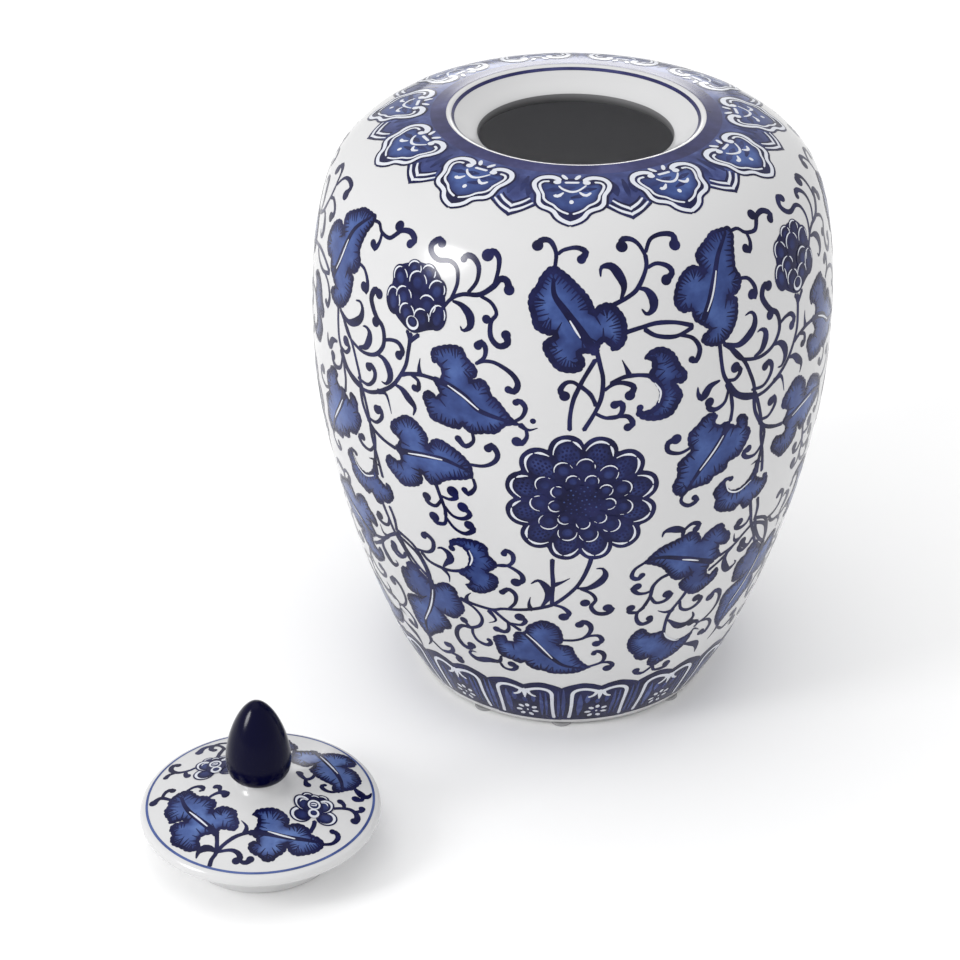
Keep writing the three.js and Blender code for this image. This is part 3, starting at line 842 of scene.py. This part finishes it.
    d.stem(40, 177.5, 41.3, 171.3, 42.5, 163.4, 43, 155.6, 44.2, 146.7, 45, 138)
    d.stem(43.3, 123.3, 44.6, 116.3, 45.8, 110, 47.9, 103.8, 50, 96.7, 54.6, 89.7)
    d.stem(45.8, 123.3, 46.7, 117.8, 46.7, 111.6)
    d.stem(45.8, 110, 49.2, 107.7, 52.5, 103.8, 54.2, 97.5, 54.8, 90.5)
    d.leafy(30.2, 188.4, 27.9, 187, 26.3, 183, 25.2, 184.5, 25, 187.7)
    d.curl(1.2, 32.5, 183, 31.7, 178.3, 29.6, 176.3, 27.9, 177.5, 27.9, 180.2)
    d.curl(1.3, 32, 187.7, 34.2, 187, 35.6, 190, 34.2, 192)
    d.leaf(
        [(23.3, 167.3, 23.8, 169, 25.8, 172, 26.3, 173.6, 28.3, 175.2, 30, 173.6),
         (29.4, 170.5, 30.8, 168.5, 32.5, 169.3, 33.8, 167.3),
         (35.4, 165.8, 35.4, 169.7, 37, 170, 38.3, 167.3, 38.3, 164.2, 39.4, 161, 38.8, 157.2, 37.5, 153.3,
          36.7, 151.4),
         (33.8, 150.2, 33.3, 146.7, 30.4, 145.2, 29.6, 142.8, 27, 142.4, 24.6, 141.6),
         (23.3, 139, 21.3, 141.3, 20.6, 145.2, 21.5, 149.8, 21.3, 153.8, 21.7, 156.4, 24.2, 160.3,
          23.5, 163.4)],
        (32.8, 168, 31.9, 163.4, 30, 158, 26.7, 150.2, 24, 142), (31.9, 163.4, 30, 158, 26.7, 150.2),
    )
    d.curl(0.8, 23.3, 140.5, 23, 136.6, 25, 133.8, 26.9, 135.4, 26.2, 137.2)
    d.curl(1.3, 24.2, 162, 21.7, 160.3, 19, 162, 18.8, 165.8, 20.6, 167)
    d.curl(1.0, 43.3, 151.4, 41.7, 148.3, 39.2, 148.7, 38, 151.4, 39.4, 152.6)
    d.leaf(
        [(35.6, 141, 34.2, 142.4, 32, 139.7, 31, 136.6, 32, 132.7, 32, 128.8, 33.8, 125.6, 35.8, 124.5,
          37.9, 123.3),
         (39.4, 125.6, 40, 124.8, 41.3, 121.7, 42.9, 122.5, 44.2, 124.8, 45.4, 124.8, 47.5, 128.8,
          47.7, 132, 47, 135, 46, 135.8),
         (45.8, 133.4, 43.3, 136.6, 42.9, 142),
         (42.7, 145.2, 41.7, 139, 39.6, 135, 37.5, 134.2, 35.8, 135, 34.6, 137.3, 33.8, 140.5)],
        None, (34.2, 139, 35.4, 135, 38.3, 133, 41.7, 135.8),
    )
    d.dot("dark", 0, 35.4, 141, 1.3)
    d.curl(1.2, 44.6, 116.3, 43.8, 112.3, 41.7, 111.2, 40, 113, 41, 114.7)
    d.stem(45.8, 109.2, 43.3, 106, 40.8, 102.2, 37, 99.8)
    d.stem(40.8, 102.2, 39.6, 99.8, 37.4, 96.6, 34.6, 93.6)
    d.thorn(42.5, 104.5, 40.8, 105.3, 40.2, 109.2)
    d.curl(1.2, 47.9, 100.6, 47, 97.5, 45, 96.3, 43.3, 99, 44.2, 101)
    d.leafy(39.6, 99.8, 39, 96, 40, 91.3, 41.7, 88.5, 43.8, 90.5, 43.3, 92)
    d.leaf(
        [(15.8, 107, 17.9, 111.6, 20, 114.7, 22.9, 116.6, 24.6, 117.8, 27, 119.4, 28.8, 117.4),
         (30, 113, 31.3, 116.3, 34.2, 118.8, 35.8, 117.4, 36.7, 114, 38.3, 111.6, 38.8, 107.7, 37.9, 105.7),
         (35.8, 107, 36, 103.8, 37, 99.8, 34.6, 97.5, 33.8, 93.6, 34.4, 91.3, 35.4, 90.5, 36.7, 93.2,
          37.7, 91.3, 37.5, 87.3, 35.4, 84.2, 32.9, 82, 30.4, 82.7, 28.8, 85, 27, 88, 26.3, 91.3,
          27.5, 93.6),
         (29.4, 96, 26.3, 93.6, 24.2, 95.2, 22.5, 99, 20.8, 103, 17.9, 106)],
        (35, 98, 33.8, 99, 30.4, 101.8, 26.3, 105.3, 20, 109, 16, 107.5),
        (30.4, 101.8, 28, 103.6, 25.8, 105),
    )
    d.curl(0.8, 15.8, 107, 14, 104.5, 13.5, 100.6, 15, 98.7, 16, 100.6)
    d.leafy(24.6, 117.8, 24.6, 121, 22, 123, 20, 122.5, 19.6, 120.2)
    d.curl(1.0, 24.6, 118.5, 24.8, 121, 26.7, 123.7, 28.5, 122.5, 28, 120.2)
    d.stem(22.9, 98.3, 20.8, 96.7, 19.2, 92.8, 19, 87.3, 17.9, 82)
    d.curl(1.1, 19.4, 91, 17.5, 89.7, 15.4, 90.5, 14.2, 93.6, 15.2, 94.4)
    d.curl(1.2, 19.2, 86.6, 20.8, 82.7, 23.3, 82.7, 24.6, 85.8, 23.5, 86.6)
    d.curl(1.1, 17.9, 81, 16.3, 78.8, 14.2, 79.5, 14.4, 82)
    d.curl(0.9, 17.9, 82, 16.3, 78, 16.7, 73.3, 18.3, 70.5, 20.4, 71.7, 20, 73.7)
    d.stem(29, 84.6, 27.9, 81, 26.3, 76.4, 25.4, 72.5, 25.2, 66.3, 25.6, 60)
    d.thorn(26.3, 75.2, 24.2, 75.2, 22, 77.2)
    d.curl(1.2, 27.9, 79.5, 28.8, 74.8, 31.3, 72.5, 33.8, 74, 34.6, 77.2, 33, 78.4)
    d.leafy(25.8, 69.4, 26.3, 68.6, 29.6, 63.5, 32.5, 63, 34, 66.3, 33.3, 69.4)
    d.leaf(
        [(25, 63, 22.5, 62.7, 20.8, 63.5, 19.2, 67, 17.5, 67, 15.8, 63, 15.4, 58.4, 16.3, 53.8, 17.9, 50.6,
          18.8, 47.5, 21.3, 45.5),
         (23.3, 47, 23, 43.6, 23.3, 41.3, 25.4, 39.3, 28.3, 41.3, 31.7, 43.6, 34.2, 47.5, 35.6, 52.2),
         (36, 57.7, 35, 55, 32, 53.4, 28.8, 54.5, 26.3, 58.4, 25.4, 62.3)],
        None, (25.6, 61.5, 27, 57.7, 30, 53.8, 31.5, 53.4),
    )
    d.curl(1.1, 36, 58.4, 36.7, 60, 35.8, 62, 34, 62.3)
    d.curl(1.3, 36.7, 60, 39.2, 61.6, 41.3, 65.5, 42, 70.2, 41.3, 75.6, 39.2, 78, 38, 75.2)
    d.curl(1.1, 38.3, 60.4, 40.8, 59.2, 42.5, 55.3, 41.7, 50.6, 39.8, 51.8)
    d.leafy(34.2, 48.3, 36.7, 46.7, 39.6, 44.4, 40.8, 40.5, 41, 38)
    d.curl(1.1, 25.4, 39, 26.3, 35.8, 30, 35.8, 30.2, 38)
    d.curl(1.0, 25, 39, 22.5, 35.8, 20.4, 36.6, 20, 38.5)
    d.shift = np.zeros(2)


field = Drawing(jar_scale, 3)
flower_column(field)
lay(field, on_jar, [(0, 0), (91, 0), (181, 0), (268, -6)], "flowers", "jar", "jar_body")
field = Drawing(jar_scale, 5)
vine_column(field)
lay(field, on_jar, [(0, 0), (92, 6), (182, 2), (271, 0)], "vines", "jar", "jar_body")

# ------------------------------------------------------------------ the collar under the mouth


def mirrored(points):
    """A line that ends on u = 0, and the same line turned over, back to where it started."""
    points = np.asarray(points, float)
    return np.vstack([points, (points * [-1, 1])[::-1]])


def collar(d, pitch):
    """One lappet, centred on 0, and the pointed one beside it."""
    half = pitch / 2
    v_top = [(-4.4, 267.4), (-2.5, 265), (0, 262.9)]
    v_low = [(-5.6, 265.3), (-2.8, 262.2), (0, 260.3)]
    v_edge = [(-6.4, 264.4), (-2.9, 261), (0, 258.7)]
    ground = mirrored([(-7.6, 284.5), (-8.6, 276), (-7.2, 270), (-7.4, 265.4), (-3, 261.2), (0, 258.8)])
    d.fill("band", 0, closed(ground + [half, 0], 0.9), soft=2.5)
    for u, w in ((-5.2, 1.6), (-2.6, 3.4), (0.9, 2.2), (3.4, 3.8), (5.8, 1.2)):
        high, low = d.random.uniform(278, 282), d.random.uniform(268.5, 271)
        d.stroke("deep", 1, [(half + u, low), (half + u * 1.05, (low + high) / 2), (half + u * 1.1, high)],
                 [0.8, w, w, 0.8])
    d.stroke("dark", 1, mirrored(v_edge) + [half, 0], [0.8, 1.1, 1.3, 1.1, 0.8])
    d.stroke("dark", 1, mirrored([(-5.0, 266.3), (-2.6, 263.5), (0, 261.6)]) + [half, 0], [1.0, 1.2, 1.0])
    d.stroke("dark", 1, mirrored([(-4.0, 268.6), (-2.4, 266.3), (0, 264.3)]) + [half, 0], [0.6, 1.2, 0.6])
    for line in (v_top, v_low):
        d.stroke("white", 3, mirrored(line) + [half, 0], [0.7, 1.15, 1.2, 1.15, 0.7])
    frame_line = [
        (-5, 278), (-4.6, 280.2), (-7.3, 281.6), (-10.8, 280.4), (-12.3, 277), (-11.6, 273.6), (-10, 270.6),
        (-9.5, 268), (-9.2, 266), (-8, 264.2), (-6, 263.2), (-4.5, 261.9), (-3.5, 259.8), (-2, 258.1),
        (0, 256.9),
    ]
    heart = [
        (-5.2, 281.2), (-7.3, 281.9), (-10.8, 280.6), (-12.5, 277), (-11.8, 273.6), (-10.2, 270.6),
        (-9.7, 268), (-9.4, 266), (-8, 264), (-6, 263), (-4.5, 261.7), (-3.5, 259.6), (-2, 257.9),
        (0, 256.7),
    ]
    d.fill("dark", 1, closed(mirrored(heart), 0.8))
    core = mirrored([(-4.2, 279.6), (-6, 276.6), (-8.6, 277.6), (-9.6, 275.2), (-8.4, 272), (-7.5, 269.5),
                     (-6.9, 267.6), (-4.6, 265.6), (-2.9, 263.6), (0, 262)])
    d.fill("wash", 2, closed(core, 0.7), soft=2.2)
    for u, v, w in ((-5.6, 273.4, 2.6), (5.4, 274, 2.6), (-1.4, 274.6, 3.2), (2.4, 270.2, 2.2)):
        d.stroke("deep", 3, [(u - 2.4, v - 1), (u, v), (u + 2.4, v + 0.6)], [0.9, w, 0.9])
    for side in (1, -1):
        flip = np.array([side, 1])
        d.stroke("dark", 2, np.array(frame_line) * flip, [4.3, 4.3, 4.0, 3.6, 3.5, 3.4, 3.2])
        d.stroke("white", 4, np.array(frame_line) * flip, [2.4, 2.4, 2.1, 1.6, 1.6, 1.55, 1.5])
        d.dot("white", 4, -4.95 * side, 278.3, 1.5, 1.35)
        thin = [(-7.8, 278.4), (-9.6, 277.9), (-10.4, 275.8), (-9.5, 272.8), (-8.4, 270.4), (-8.0, 268.2),
                (-6.8, 266.5), (-5, 265.2), (-3.8, 263.5), (-2.3, 262.1), (-0.7, 261.2)]
        d.stroke("white", 4, np.array(thin) * flip, [1.1, 1.1, 0.95, 0.9, 0.8])
    for line, widths in (
        ([(-3.5, 283.3), (-2.8, 282), (-1.9, 280.7)], [1.2, 1.9, 1.2]),
        ([(2.7, 283.3), (2, 282), (1.3, 280.7)], [1.2, 1.9, 1.2]),
        ([(-2.1, 278.2), (0, 278.3), (2.2, 278.4)], [1.3, 1.3, 1.2]),
        ([(-4.1, 275.7), (-3.1, 274.2), (-1.5, 273), (0, 272.4), (1.5, 272.8), (3, 274.2), (4.6, 276.4)],
         [0.8, 1.1, 1.2, 0.9, 0.7]),
        ([(-4.9, 270), (-3.8, 269.9), (-2.5, 271.8)], [1.6, 1.5, 0.7]),
        ([(2.5, 272.3), (3.5, 270.9), (4.7, 270.6), (5.8, 271.9)], [0.7, 1.4, 1.4, 0.9]),
    ):
        d.stroke("white", 4, line, widths)
    d.dot("white", 4, 0.1, 267, 0.85, 1.0)


LAPPETS = 11
LAPPET_PITCH = 360 / LAPPETS
for i in range(3):
    band = Drawing(jar_scale, 20 + i)
    collar(band, LAPPET_PITCH)
    spots = [(-3.0 + LAPPET_PITCH * n, 0.6 if n % 4 == 1 else 0.0) for n in range(i, LAPPETS, 3)]
    lay(band, on_jar, spots, f"collar_{i + 1}", "jar", "jar_body")


def painted_ring(name, runs, lift, tone, material):
    """A painted band that goes all the way round the jar, between distances along its wall."""
    n = JAR_SIDES
    across = np.arange(n) * 360 / n
    rows = [on_jar(across, np.full(n, run), np.full(n, lift)) for run in runs]
    points, normals = (np.vstack(part) for part in zip(*rows))
    faces = [
        (low + i, low + (i + 1) % n, low + n + (i + 1) % n, low + n + i)
        for low in range(0, n * (len(runs) - 1), n) for i in range(n)
    ]
    tones = np.full(len(points), tone)
    build(name, points, faces, material, "jar", ["jar_body"], normals, tones)


painted_ring("collar_ground", np.linspace(280.6, 284.9, 5), 0.045, 0.8, BAND)
ring_line = [(r + nr * 0.06, z + nz * 0.06) for r, z, nr, nz in map(wall_at, np.linspace(284.8, 290.1, 7))]
ring_line += [(52.4, 255.25), (52.0, 255.28)]
crest_line = [(49.85, 254.66), (49.55, 254.34), (49.2, 254.05), (48.75, 253.65)]
turned("collar_ring", ring_line, JAR_AXIS, JAR_SIDES, RING_PAINT, "jar", ["jar_body"])
turned("crest_line", crest_line, JAR_AXIS, JAR_SIDES, RING_PAINT, "jar", ["jar_body"])

# ------------------------------------------------------------------ the panels above the foot


def foot_panel(d, pitch):
    """One panel: a dark ground with an arched top, streaks, a white arch and a small flower."""
    half, bottom, spring = pitch / 2, 1.7, 30.2
    top = [(-half, spring), (-10.4, 31.6), (-8.2, 32.9), (-5.6, 33.8), (-2.8, 33), (-1, 31.8), (0, 31)]
    d.fill("dark", 0, np.vstack([
        spaced(smooth_line(top), 0.8),
        spaced(smooth_line(-np.array(top[::-1]) * [1, -1]), 0.8)[1:],
        spaced([(half, spring), (half, bottom)], 1.5)[1:],
        spaced([(half, bottom), (-half, bottom)], 1.0)[1:],
        spaced([(-half, bottom), (-half, spring)], 1.5)[1:-1],
    ]))
    for u, low, high, w in (
        (-6.3, 6, 25, 2.6), (-3.6, 17.5, 24, 2.2), (-0.4, 17, 21, 2.4), (2.6, 17.5, 23.5, 2.0),
        (5.0, 6, 26, 1.6), (6.9, 6, 26, 1.2), (-half + 0.6, 5, 29, 1.7), (half - 1.1, 5, 28, 1.3),
    ):
        u = u + d.random.uniform(-0.2, 0.2)
        d.stroke("band", 1, [(u, low), (u + 0.15, (low + high) / 2), (u, high)], [0.4, w, w * 0.9, 0.4])
    for side in (1, -1):
        flip = np.array([side, 1])
        line = [(-9.3, 4.2), (-9.0, 9), (-8.8, 16), (-8.8, 23), (-8.6, 26.2), (-7.4, 28.4), (-5.2, 29.2),
                (-3, 28.6), (-1.3, 27.4), (0, 26.6)]
        d.stroke("white", 3, np.array(line) * flip, [1.7, 1.5, 1.5, 1.5, 1.6, 1.8, 1.7, 2.0])
        hook = np.array([(-1.0, 27), (-1.4, 25.2), (-2.2, 23.6), (-3.4, 22.7)]) * flip
        d.stroke("white", 3, hook, [2.0, 1.5, 1.3, 1.2])
    d.stroke("white", 3, [(0, 27.4), (0.05, 24.5), (0, 21)], [2.4, 1.8, 0.5], tip=True)
    for u, v, lean in ((0.2, 13.9, 0), (2.6, 12.5, -45), (2.8, 9, -95), (1.1, 5.9, -150), (-1.9, 6.1, 150),
                       (-2.9, 9.2, 95), (-1.9, 12.7, 45)):
        d.dot("white", 3, u, v, 0.95, 1.35, lean, 14)
    d.dot("white", 3, 0.15, 9.8, 0.45, 0.8, 0, 12)


PANELS = 15
PANEL_PITCH = 360 / PANELS
band = Drawing(jar_scale, 31)
foot_panel(band, PANEL_PITCH)
spots = [(10 + PANEL_PITCH * n, 0.4 * math.sin(2.1 * n)) for n in range(PANELS)]
lay(band, on_jar, spots, "foot_band", "jar", "jar_body")

# ------------------------------------------------------------------ the lid


def right_leaf(d):
    """The broad leaf that lies across the lid, with its tendril."""
    d.leaf(
        [(-0.5, -25, 0.6, -22.5, 0.8, -20, 0.2, -18.2),
         (-1.5, -17.5, 0, -15.3, 3, -14.5, 6.5, -14, 9.5, -15, 11.8, -17, 12.8, -19.5),
         (11.8, -21.8, 13.5, -21, 16.5, -20.3, 19.5, -21.5, 21.3, -23.5, 21.5, -25, 24, -25.8, 26, -27.3),
         (27, -29, 26, -31, 23.5, -33.5, 20, -35, 16.5, -35.8, 14, -34.5, 12.8, -32),
         (12, -30, 12.5, -33, 11, -35.5, 9, -37, 7.5, -39, 4.5, -39.3, 2.5, -37.3, 0, -36, -1.8, -34,
          -2, -31.5, -0.6, -30.2),
         (1.2, -30.4, 0.5, -28.5, -1, -27)],
        (-2, -26, 5, -26.3, 12, -27.5, 20, -28, 26, -28.5), (5, -25.3, 10, -26.8, 15.5, -28),
    )
    d.curl(1.3, 27, -29, 30, -28, 32, -25, 31.5, -22.5, 29.8, -21.9)


def peony(d, u, v, turn):
    """An open flower: round outer petals, a smaller row above them and a heart."""
    shift, d.shift = d.shift, d.shift + [u, v]
    d.turn = math.radians(turn)
    for x, y, rx, ry, lean in ((-2.7, 6.7, 2.6, 2.3, 20), (3.2, 6.3, 2.7, 2.3, -20), (0.2, 6.2, 2.5, 2.2, 0)):
        d.dot("dark", 0, x, y, rx, ry, lean, 26)
        d.arc("white", 1, x, y, rx - 0.9, ry - 0.9, lean, -60, 60, [0.3, 0.7, 0.3])
    for x, y, rx, ry, lean in ((-5.0, -3.9, 4.1, 4.4, 60), (5.3, -4.2, 4.0, 4.3, -60)):
        d.petal(2, x, y, rx, ry, lean, 0.7, 0.55)
    for x, y, rx, ry, lean in ((-4.3, 2.3, 3.7, 4.5, 25), (4.2, 2.1, 3.6, 4.4, -25)):
        d.petal(6, x, y, rx, ry, lean, 0.7, 0.5)
        d.arc("white", 10, x * 0.8, y - 0.6, rx * 0.5, ry * 0.6, lean, -50, 50, [0.3, 0.7, 0.3])
    d.dot("dark", 10, 0, 0.2, 3.7, 5.4, 0, 26)
    d.dot("white", 11, 0, 1.9, 2.5, 2.7, 0, 26)
    d.dot("deep", 12, 0, 1.7, 1.8, 1.9, 0, 22)
    loop = [(-1.1, 2.2), (0.4, 2.7), (1.1, 1.8), (0, 1.3), (-1.4, 1.4)]
    d.stroke("white", 13, loop, [0.4, 0.7, 0.6, 0.6, 0.3])
    d.dot("white", 13, 0.1, -2.9, 2.2, 2.4, 0, 26)
    d.dot("deep", 14, 0.1, -2.7, 1.35, 1.4, 0, 22)
    d.turn = 0.0
    d.shift = shift


def lid_painting(d):
    """The whole painting of the lid, inside its blue line."""
    d.leaf(
        [(-15.2, -25.3, -17.5, -25.5, -20.5, -26, -21.8, -28.5, -21, -31.5, -23, -33, -26, -32.8,
          -29, -30.5, -32, -28.5, -33, -25.5, -32.5, -23.5, -33.7, -21, -33.3, -18.5, -31, -17.4),
         (-27, -17.3, -30, -16.4, -34, -17, -35, -14.5, -36.5, -12, -37, -9, -35.8, -6.5, -36, -4, -34, -1,
          -31, 1, -28, 0.8, -26, -1.5, -24, -3.8, -21, -4.5, -19.5, -6.5, -17.5, -7.5, -16.5, -10,
          -17, -12),
         (-18.3, -14.3, -16, -12.5, -13.5, -12, -10.5, -13.5, -8, -15.5, -7.8, -18, -6.8, -20.5, -7, -23,
          -8.3, -24.7, -11, -24, -13.8, -23.5, -14.6, -25)],
        (-15, -26, -17, -23.5, -21, -19.2, -26, -13.5, -29, -8.5, -31, -3),
        (-26.8, -12.4, -23, -16.8, -19, -21.5),
    )
    d.curl(1.8, -34, -3.4, -36, -2.5, -38.5, -0.9, -40.2, -0.8, -42.2, -3)
    d.curl(1.3, -38.8, -0.8, -38.6, 1.2, -37.4, 3.2, -36, 3.6, -35, 2.8)
    d.curl(0.7, -29, 1, -26.5, 2.7, -24, 2.5, -22.5, 0.8, -22.8, -0.6, -23.6, -0.4)
    d.curl(1.7, -20, -6, -18, -4.4, -15.5, -3.8, -13.9, -4.6, -13, -5.9)
    d.curl(1.3, -15.8, -3.8, -15.6, -1.5, -16.5, 0.1, -17.5, 0.4)
    d.stem(-16.5, -41, -16, -38, -14.5, -35, -14.5, -30, -15, -25.5)
    d.stem(-14.5, -35, -12, -31.5, -8, -28, -4, -26.3, 0, -25.5)
    d.thorn(-3.8, -26, -3.6, -22.8, -5.7, -20)
    d.leafy(-14.3, -34.6, -17, -32.7, -19.5, -32.4, -21.4, -34, -22, -36.6)
    d.curl(1.7, -14, -34.6, -9, -34, -6, -35.5, -5, -38, -6.4, -39.2)
    d.curl(1.6, -5.6, -36.6, -4.4, -39.6, -2.4, -40, -1, -38.6)
    right_leaf(d)
    # the leaf at the back on the right
    d.leaf(
        [(11.5, 28.5, 14, 28.6, 17, 29.2, 20, 30),
         (22.4, 27.4, 24, 28.6, 27, 29.8, 30.5, 29.9, 33.8, 28.4, 36, 25.8, 36.8, 23.2, 35.3, 20.8),
         (31.8, 20.2, 34.5, 19.4, 37, 17.5, 38.5, 14.5, 39.5, 11, 38.5, 8.5, 37.5, 6.5, 36, 4.5, 34, 3.3),
         (31, 1, 28.5, 2.4, 28.5, 5, 25, 7, 22, 9, 20.5, 11, 18.8, 13.5, 20, 16),
         (20.3, 18.5, 17.5, 15.6, 14, 16.5, 11, 18.5, 10.5, 22, 11, 26)],
        (21, 28, 25, 21.5, 29, 15, 31.5, 9, 32.4, 4), (22.5, 25.3, 26, 20.2, 30, 14),
    )
    d.curl(1.6, 21, 10, 20, 7.5, 18, 6, 15.9, 7.6, 15.1, 9.6)
    d.curl(1.6, 18, 6, 17.8, 4.2, 18.6, 2.4)
    d.curl(0.9, 30.5, 2.4, 29.5, 1, 27, 0.5, 24.6, 1.9, 24.4, 3.6, 25.4, 4.3)
    d.leafy(36.5, 6.5, 38.5, 4, 41, 1.6, 43, 2.4, 43.8, 4.6)
    d.curl(1.8, 39.8, 2.4, 40.6, 0, 39.6, -1.2, 38, -0.9)
    # a leaf behind the knob
    d.turn = math.radians(161)
    right_leaf(d)
    d.turn = 0.0
    d.curl(1.7, -17, 31, -19, 34, -22, 34.8, -25.6, 33.4, -27.2, 29.8)
    # the right-hand flower
    peony(d, 21.9, -11.2, 0)
    d.stem(22.6, -18, 22.4, -20.4, 21.2, -23.8)
    d.curl(1.7, 29.4, -9.4, 32, -8.4, 36, -8, 38.5, -10, 39, -12.8, 38, -14.2)
    d.curl(1.4, 33.6, -8, 33.4, -5.8, 32, -4.4)
    d.curl(1.4, 38, -8.8, 40.2, -7.8, 40.6, -6.2)
    # the left-hand flower
    peony(d, -19, 15.4, 8)
    d.stem(-19, 23.4, -18.4, 27, -17, 31)
    d.curl(1.3, -27.5, 17, -30, 15.6, -34, 15.4, -37, 17.5, -37.6, 20, -36.6, 21.8, -34.8, 21.4)
    d.curl(1.2, -35.5, 15.6, -37.8, 15, -39, 13.2)
    d.curl(1.4, -31, 15.6, -31, 13, -30, 11.6)


top = Drawing(lid_scale, 41)
top.bulb_scale = 1.0
top.comb = 1.4
lid_painting(top)
# The lid's leaves take the lighter wash with its painted sheen.
lay(top, on_lid, [(0, 0)], "lid", "lid", "lid", LID_WASH_WITH_PAINTED_SHEEN)
lid_line = [(45.5, 21.7), (45.2, 21.82), (44.9, 21.9), (44.5, 21.99)]
turned("lid_line", lid_line, LID_AXIS, 256, LINE_PAINT, "lid", ["lid"])


# ------------------------------------------------------------------ the room

bpy.ops.mesh.primitive_plane_add(size=12, location=(0, 0, 0))
floor = bpy.context.object
floor.name = "floor"
floor.data.materials.append(plain("paper", (0.97, 0.97, 0.97), 0.8))

world = bpy.data.worlds.new("studio")
bpy.context.scene.world = world
world.use_nodes = True
sky = world.node_tree.nodes["Background"].inputs
sky["Color"].default_value = (1, 1, 1, 1)
sky["Strength"].default_value = 0.92


def soft_box(name, place, aim, width, height, power):
    """An oval lamp turned towards a point."""
    light = bpy.data.lights.new(name, "AREA")
    light.shape = "ELLIPSE"
    light.size, light.size_y, light.energy = width, height, power
    lamp = bpy.data.objects.new(name, light)
    lamp.location = place
    lamp.rotation_euler = (Vector(aim) - Vector(place)).to_track_quat("-Z", "Y").to_euler()
    bpy.context.scene.collection.objects.link(lamp)
    return lamp


soft_box("window", (-1.02, -0.58, 0.70), (0, 0, 0.2), 0.36, 0.55, 5)
# These two show only in reflections: they are the pale patches that a room leaves on the glaze.
for gleam in (
    soft_box("gleam", (-1.10, -0.62, 0.68), (0, 0, 0.2), 0.44, 0.75, 26),
    soft_box("rear_gleam", (0.06, 1.30, 0.50), (-0.07, -0.07, 0.03), 0.56, 0.24, 1.5),
):
    gleam.visible_diffuse = gleam.visible_camera = False
soft_box("overhead", (-0.3, 0.1, 2.2), (0, 0, 0), 2.6, 2.6, 10)

lens = bpy.data.cameras.new("lens")
lens.sensor_width = 36
lens.lens = 97.57
camera = bpy.data.objects.new("camera", lens)
camera.matrix_world = (
    Matrix.Translation((-0.0054, -0.9251, 0.6617))
    @ Matrix.Rotation(math.radians(59.17), 4, "X")
    @ Matrix.Rotation(math.radians(0.32), 4, "Z")
)
bpy.context.scene.collection.objects.link(camera)
bpy.context.scene.camera = camera
bpy.context.scene.view_settings.view_transform = "Standard"

bpy.context.view_layer.update()
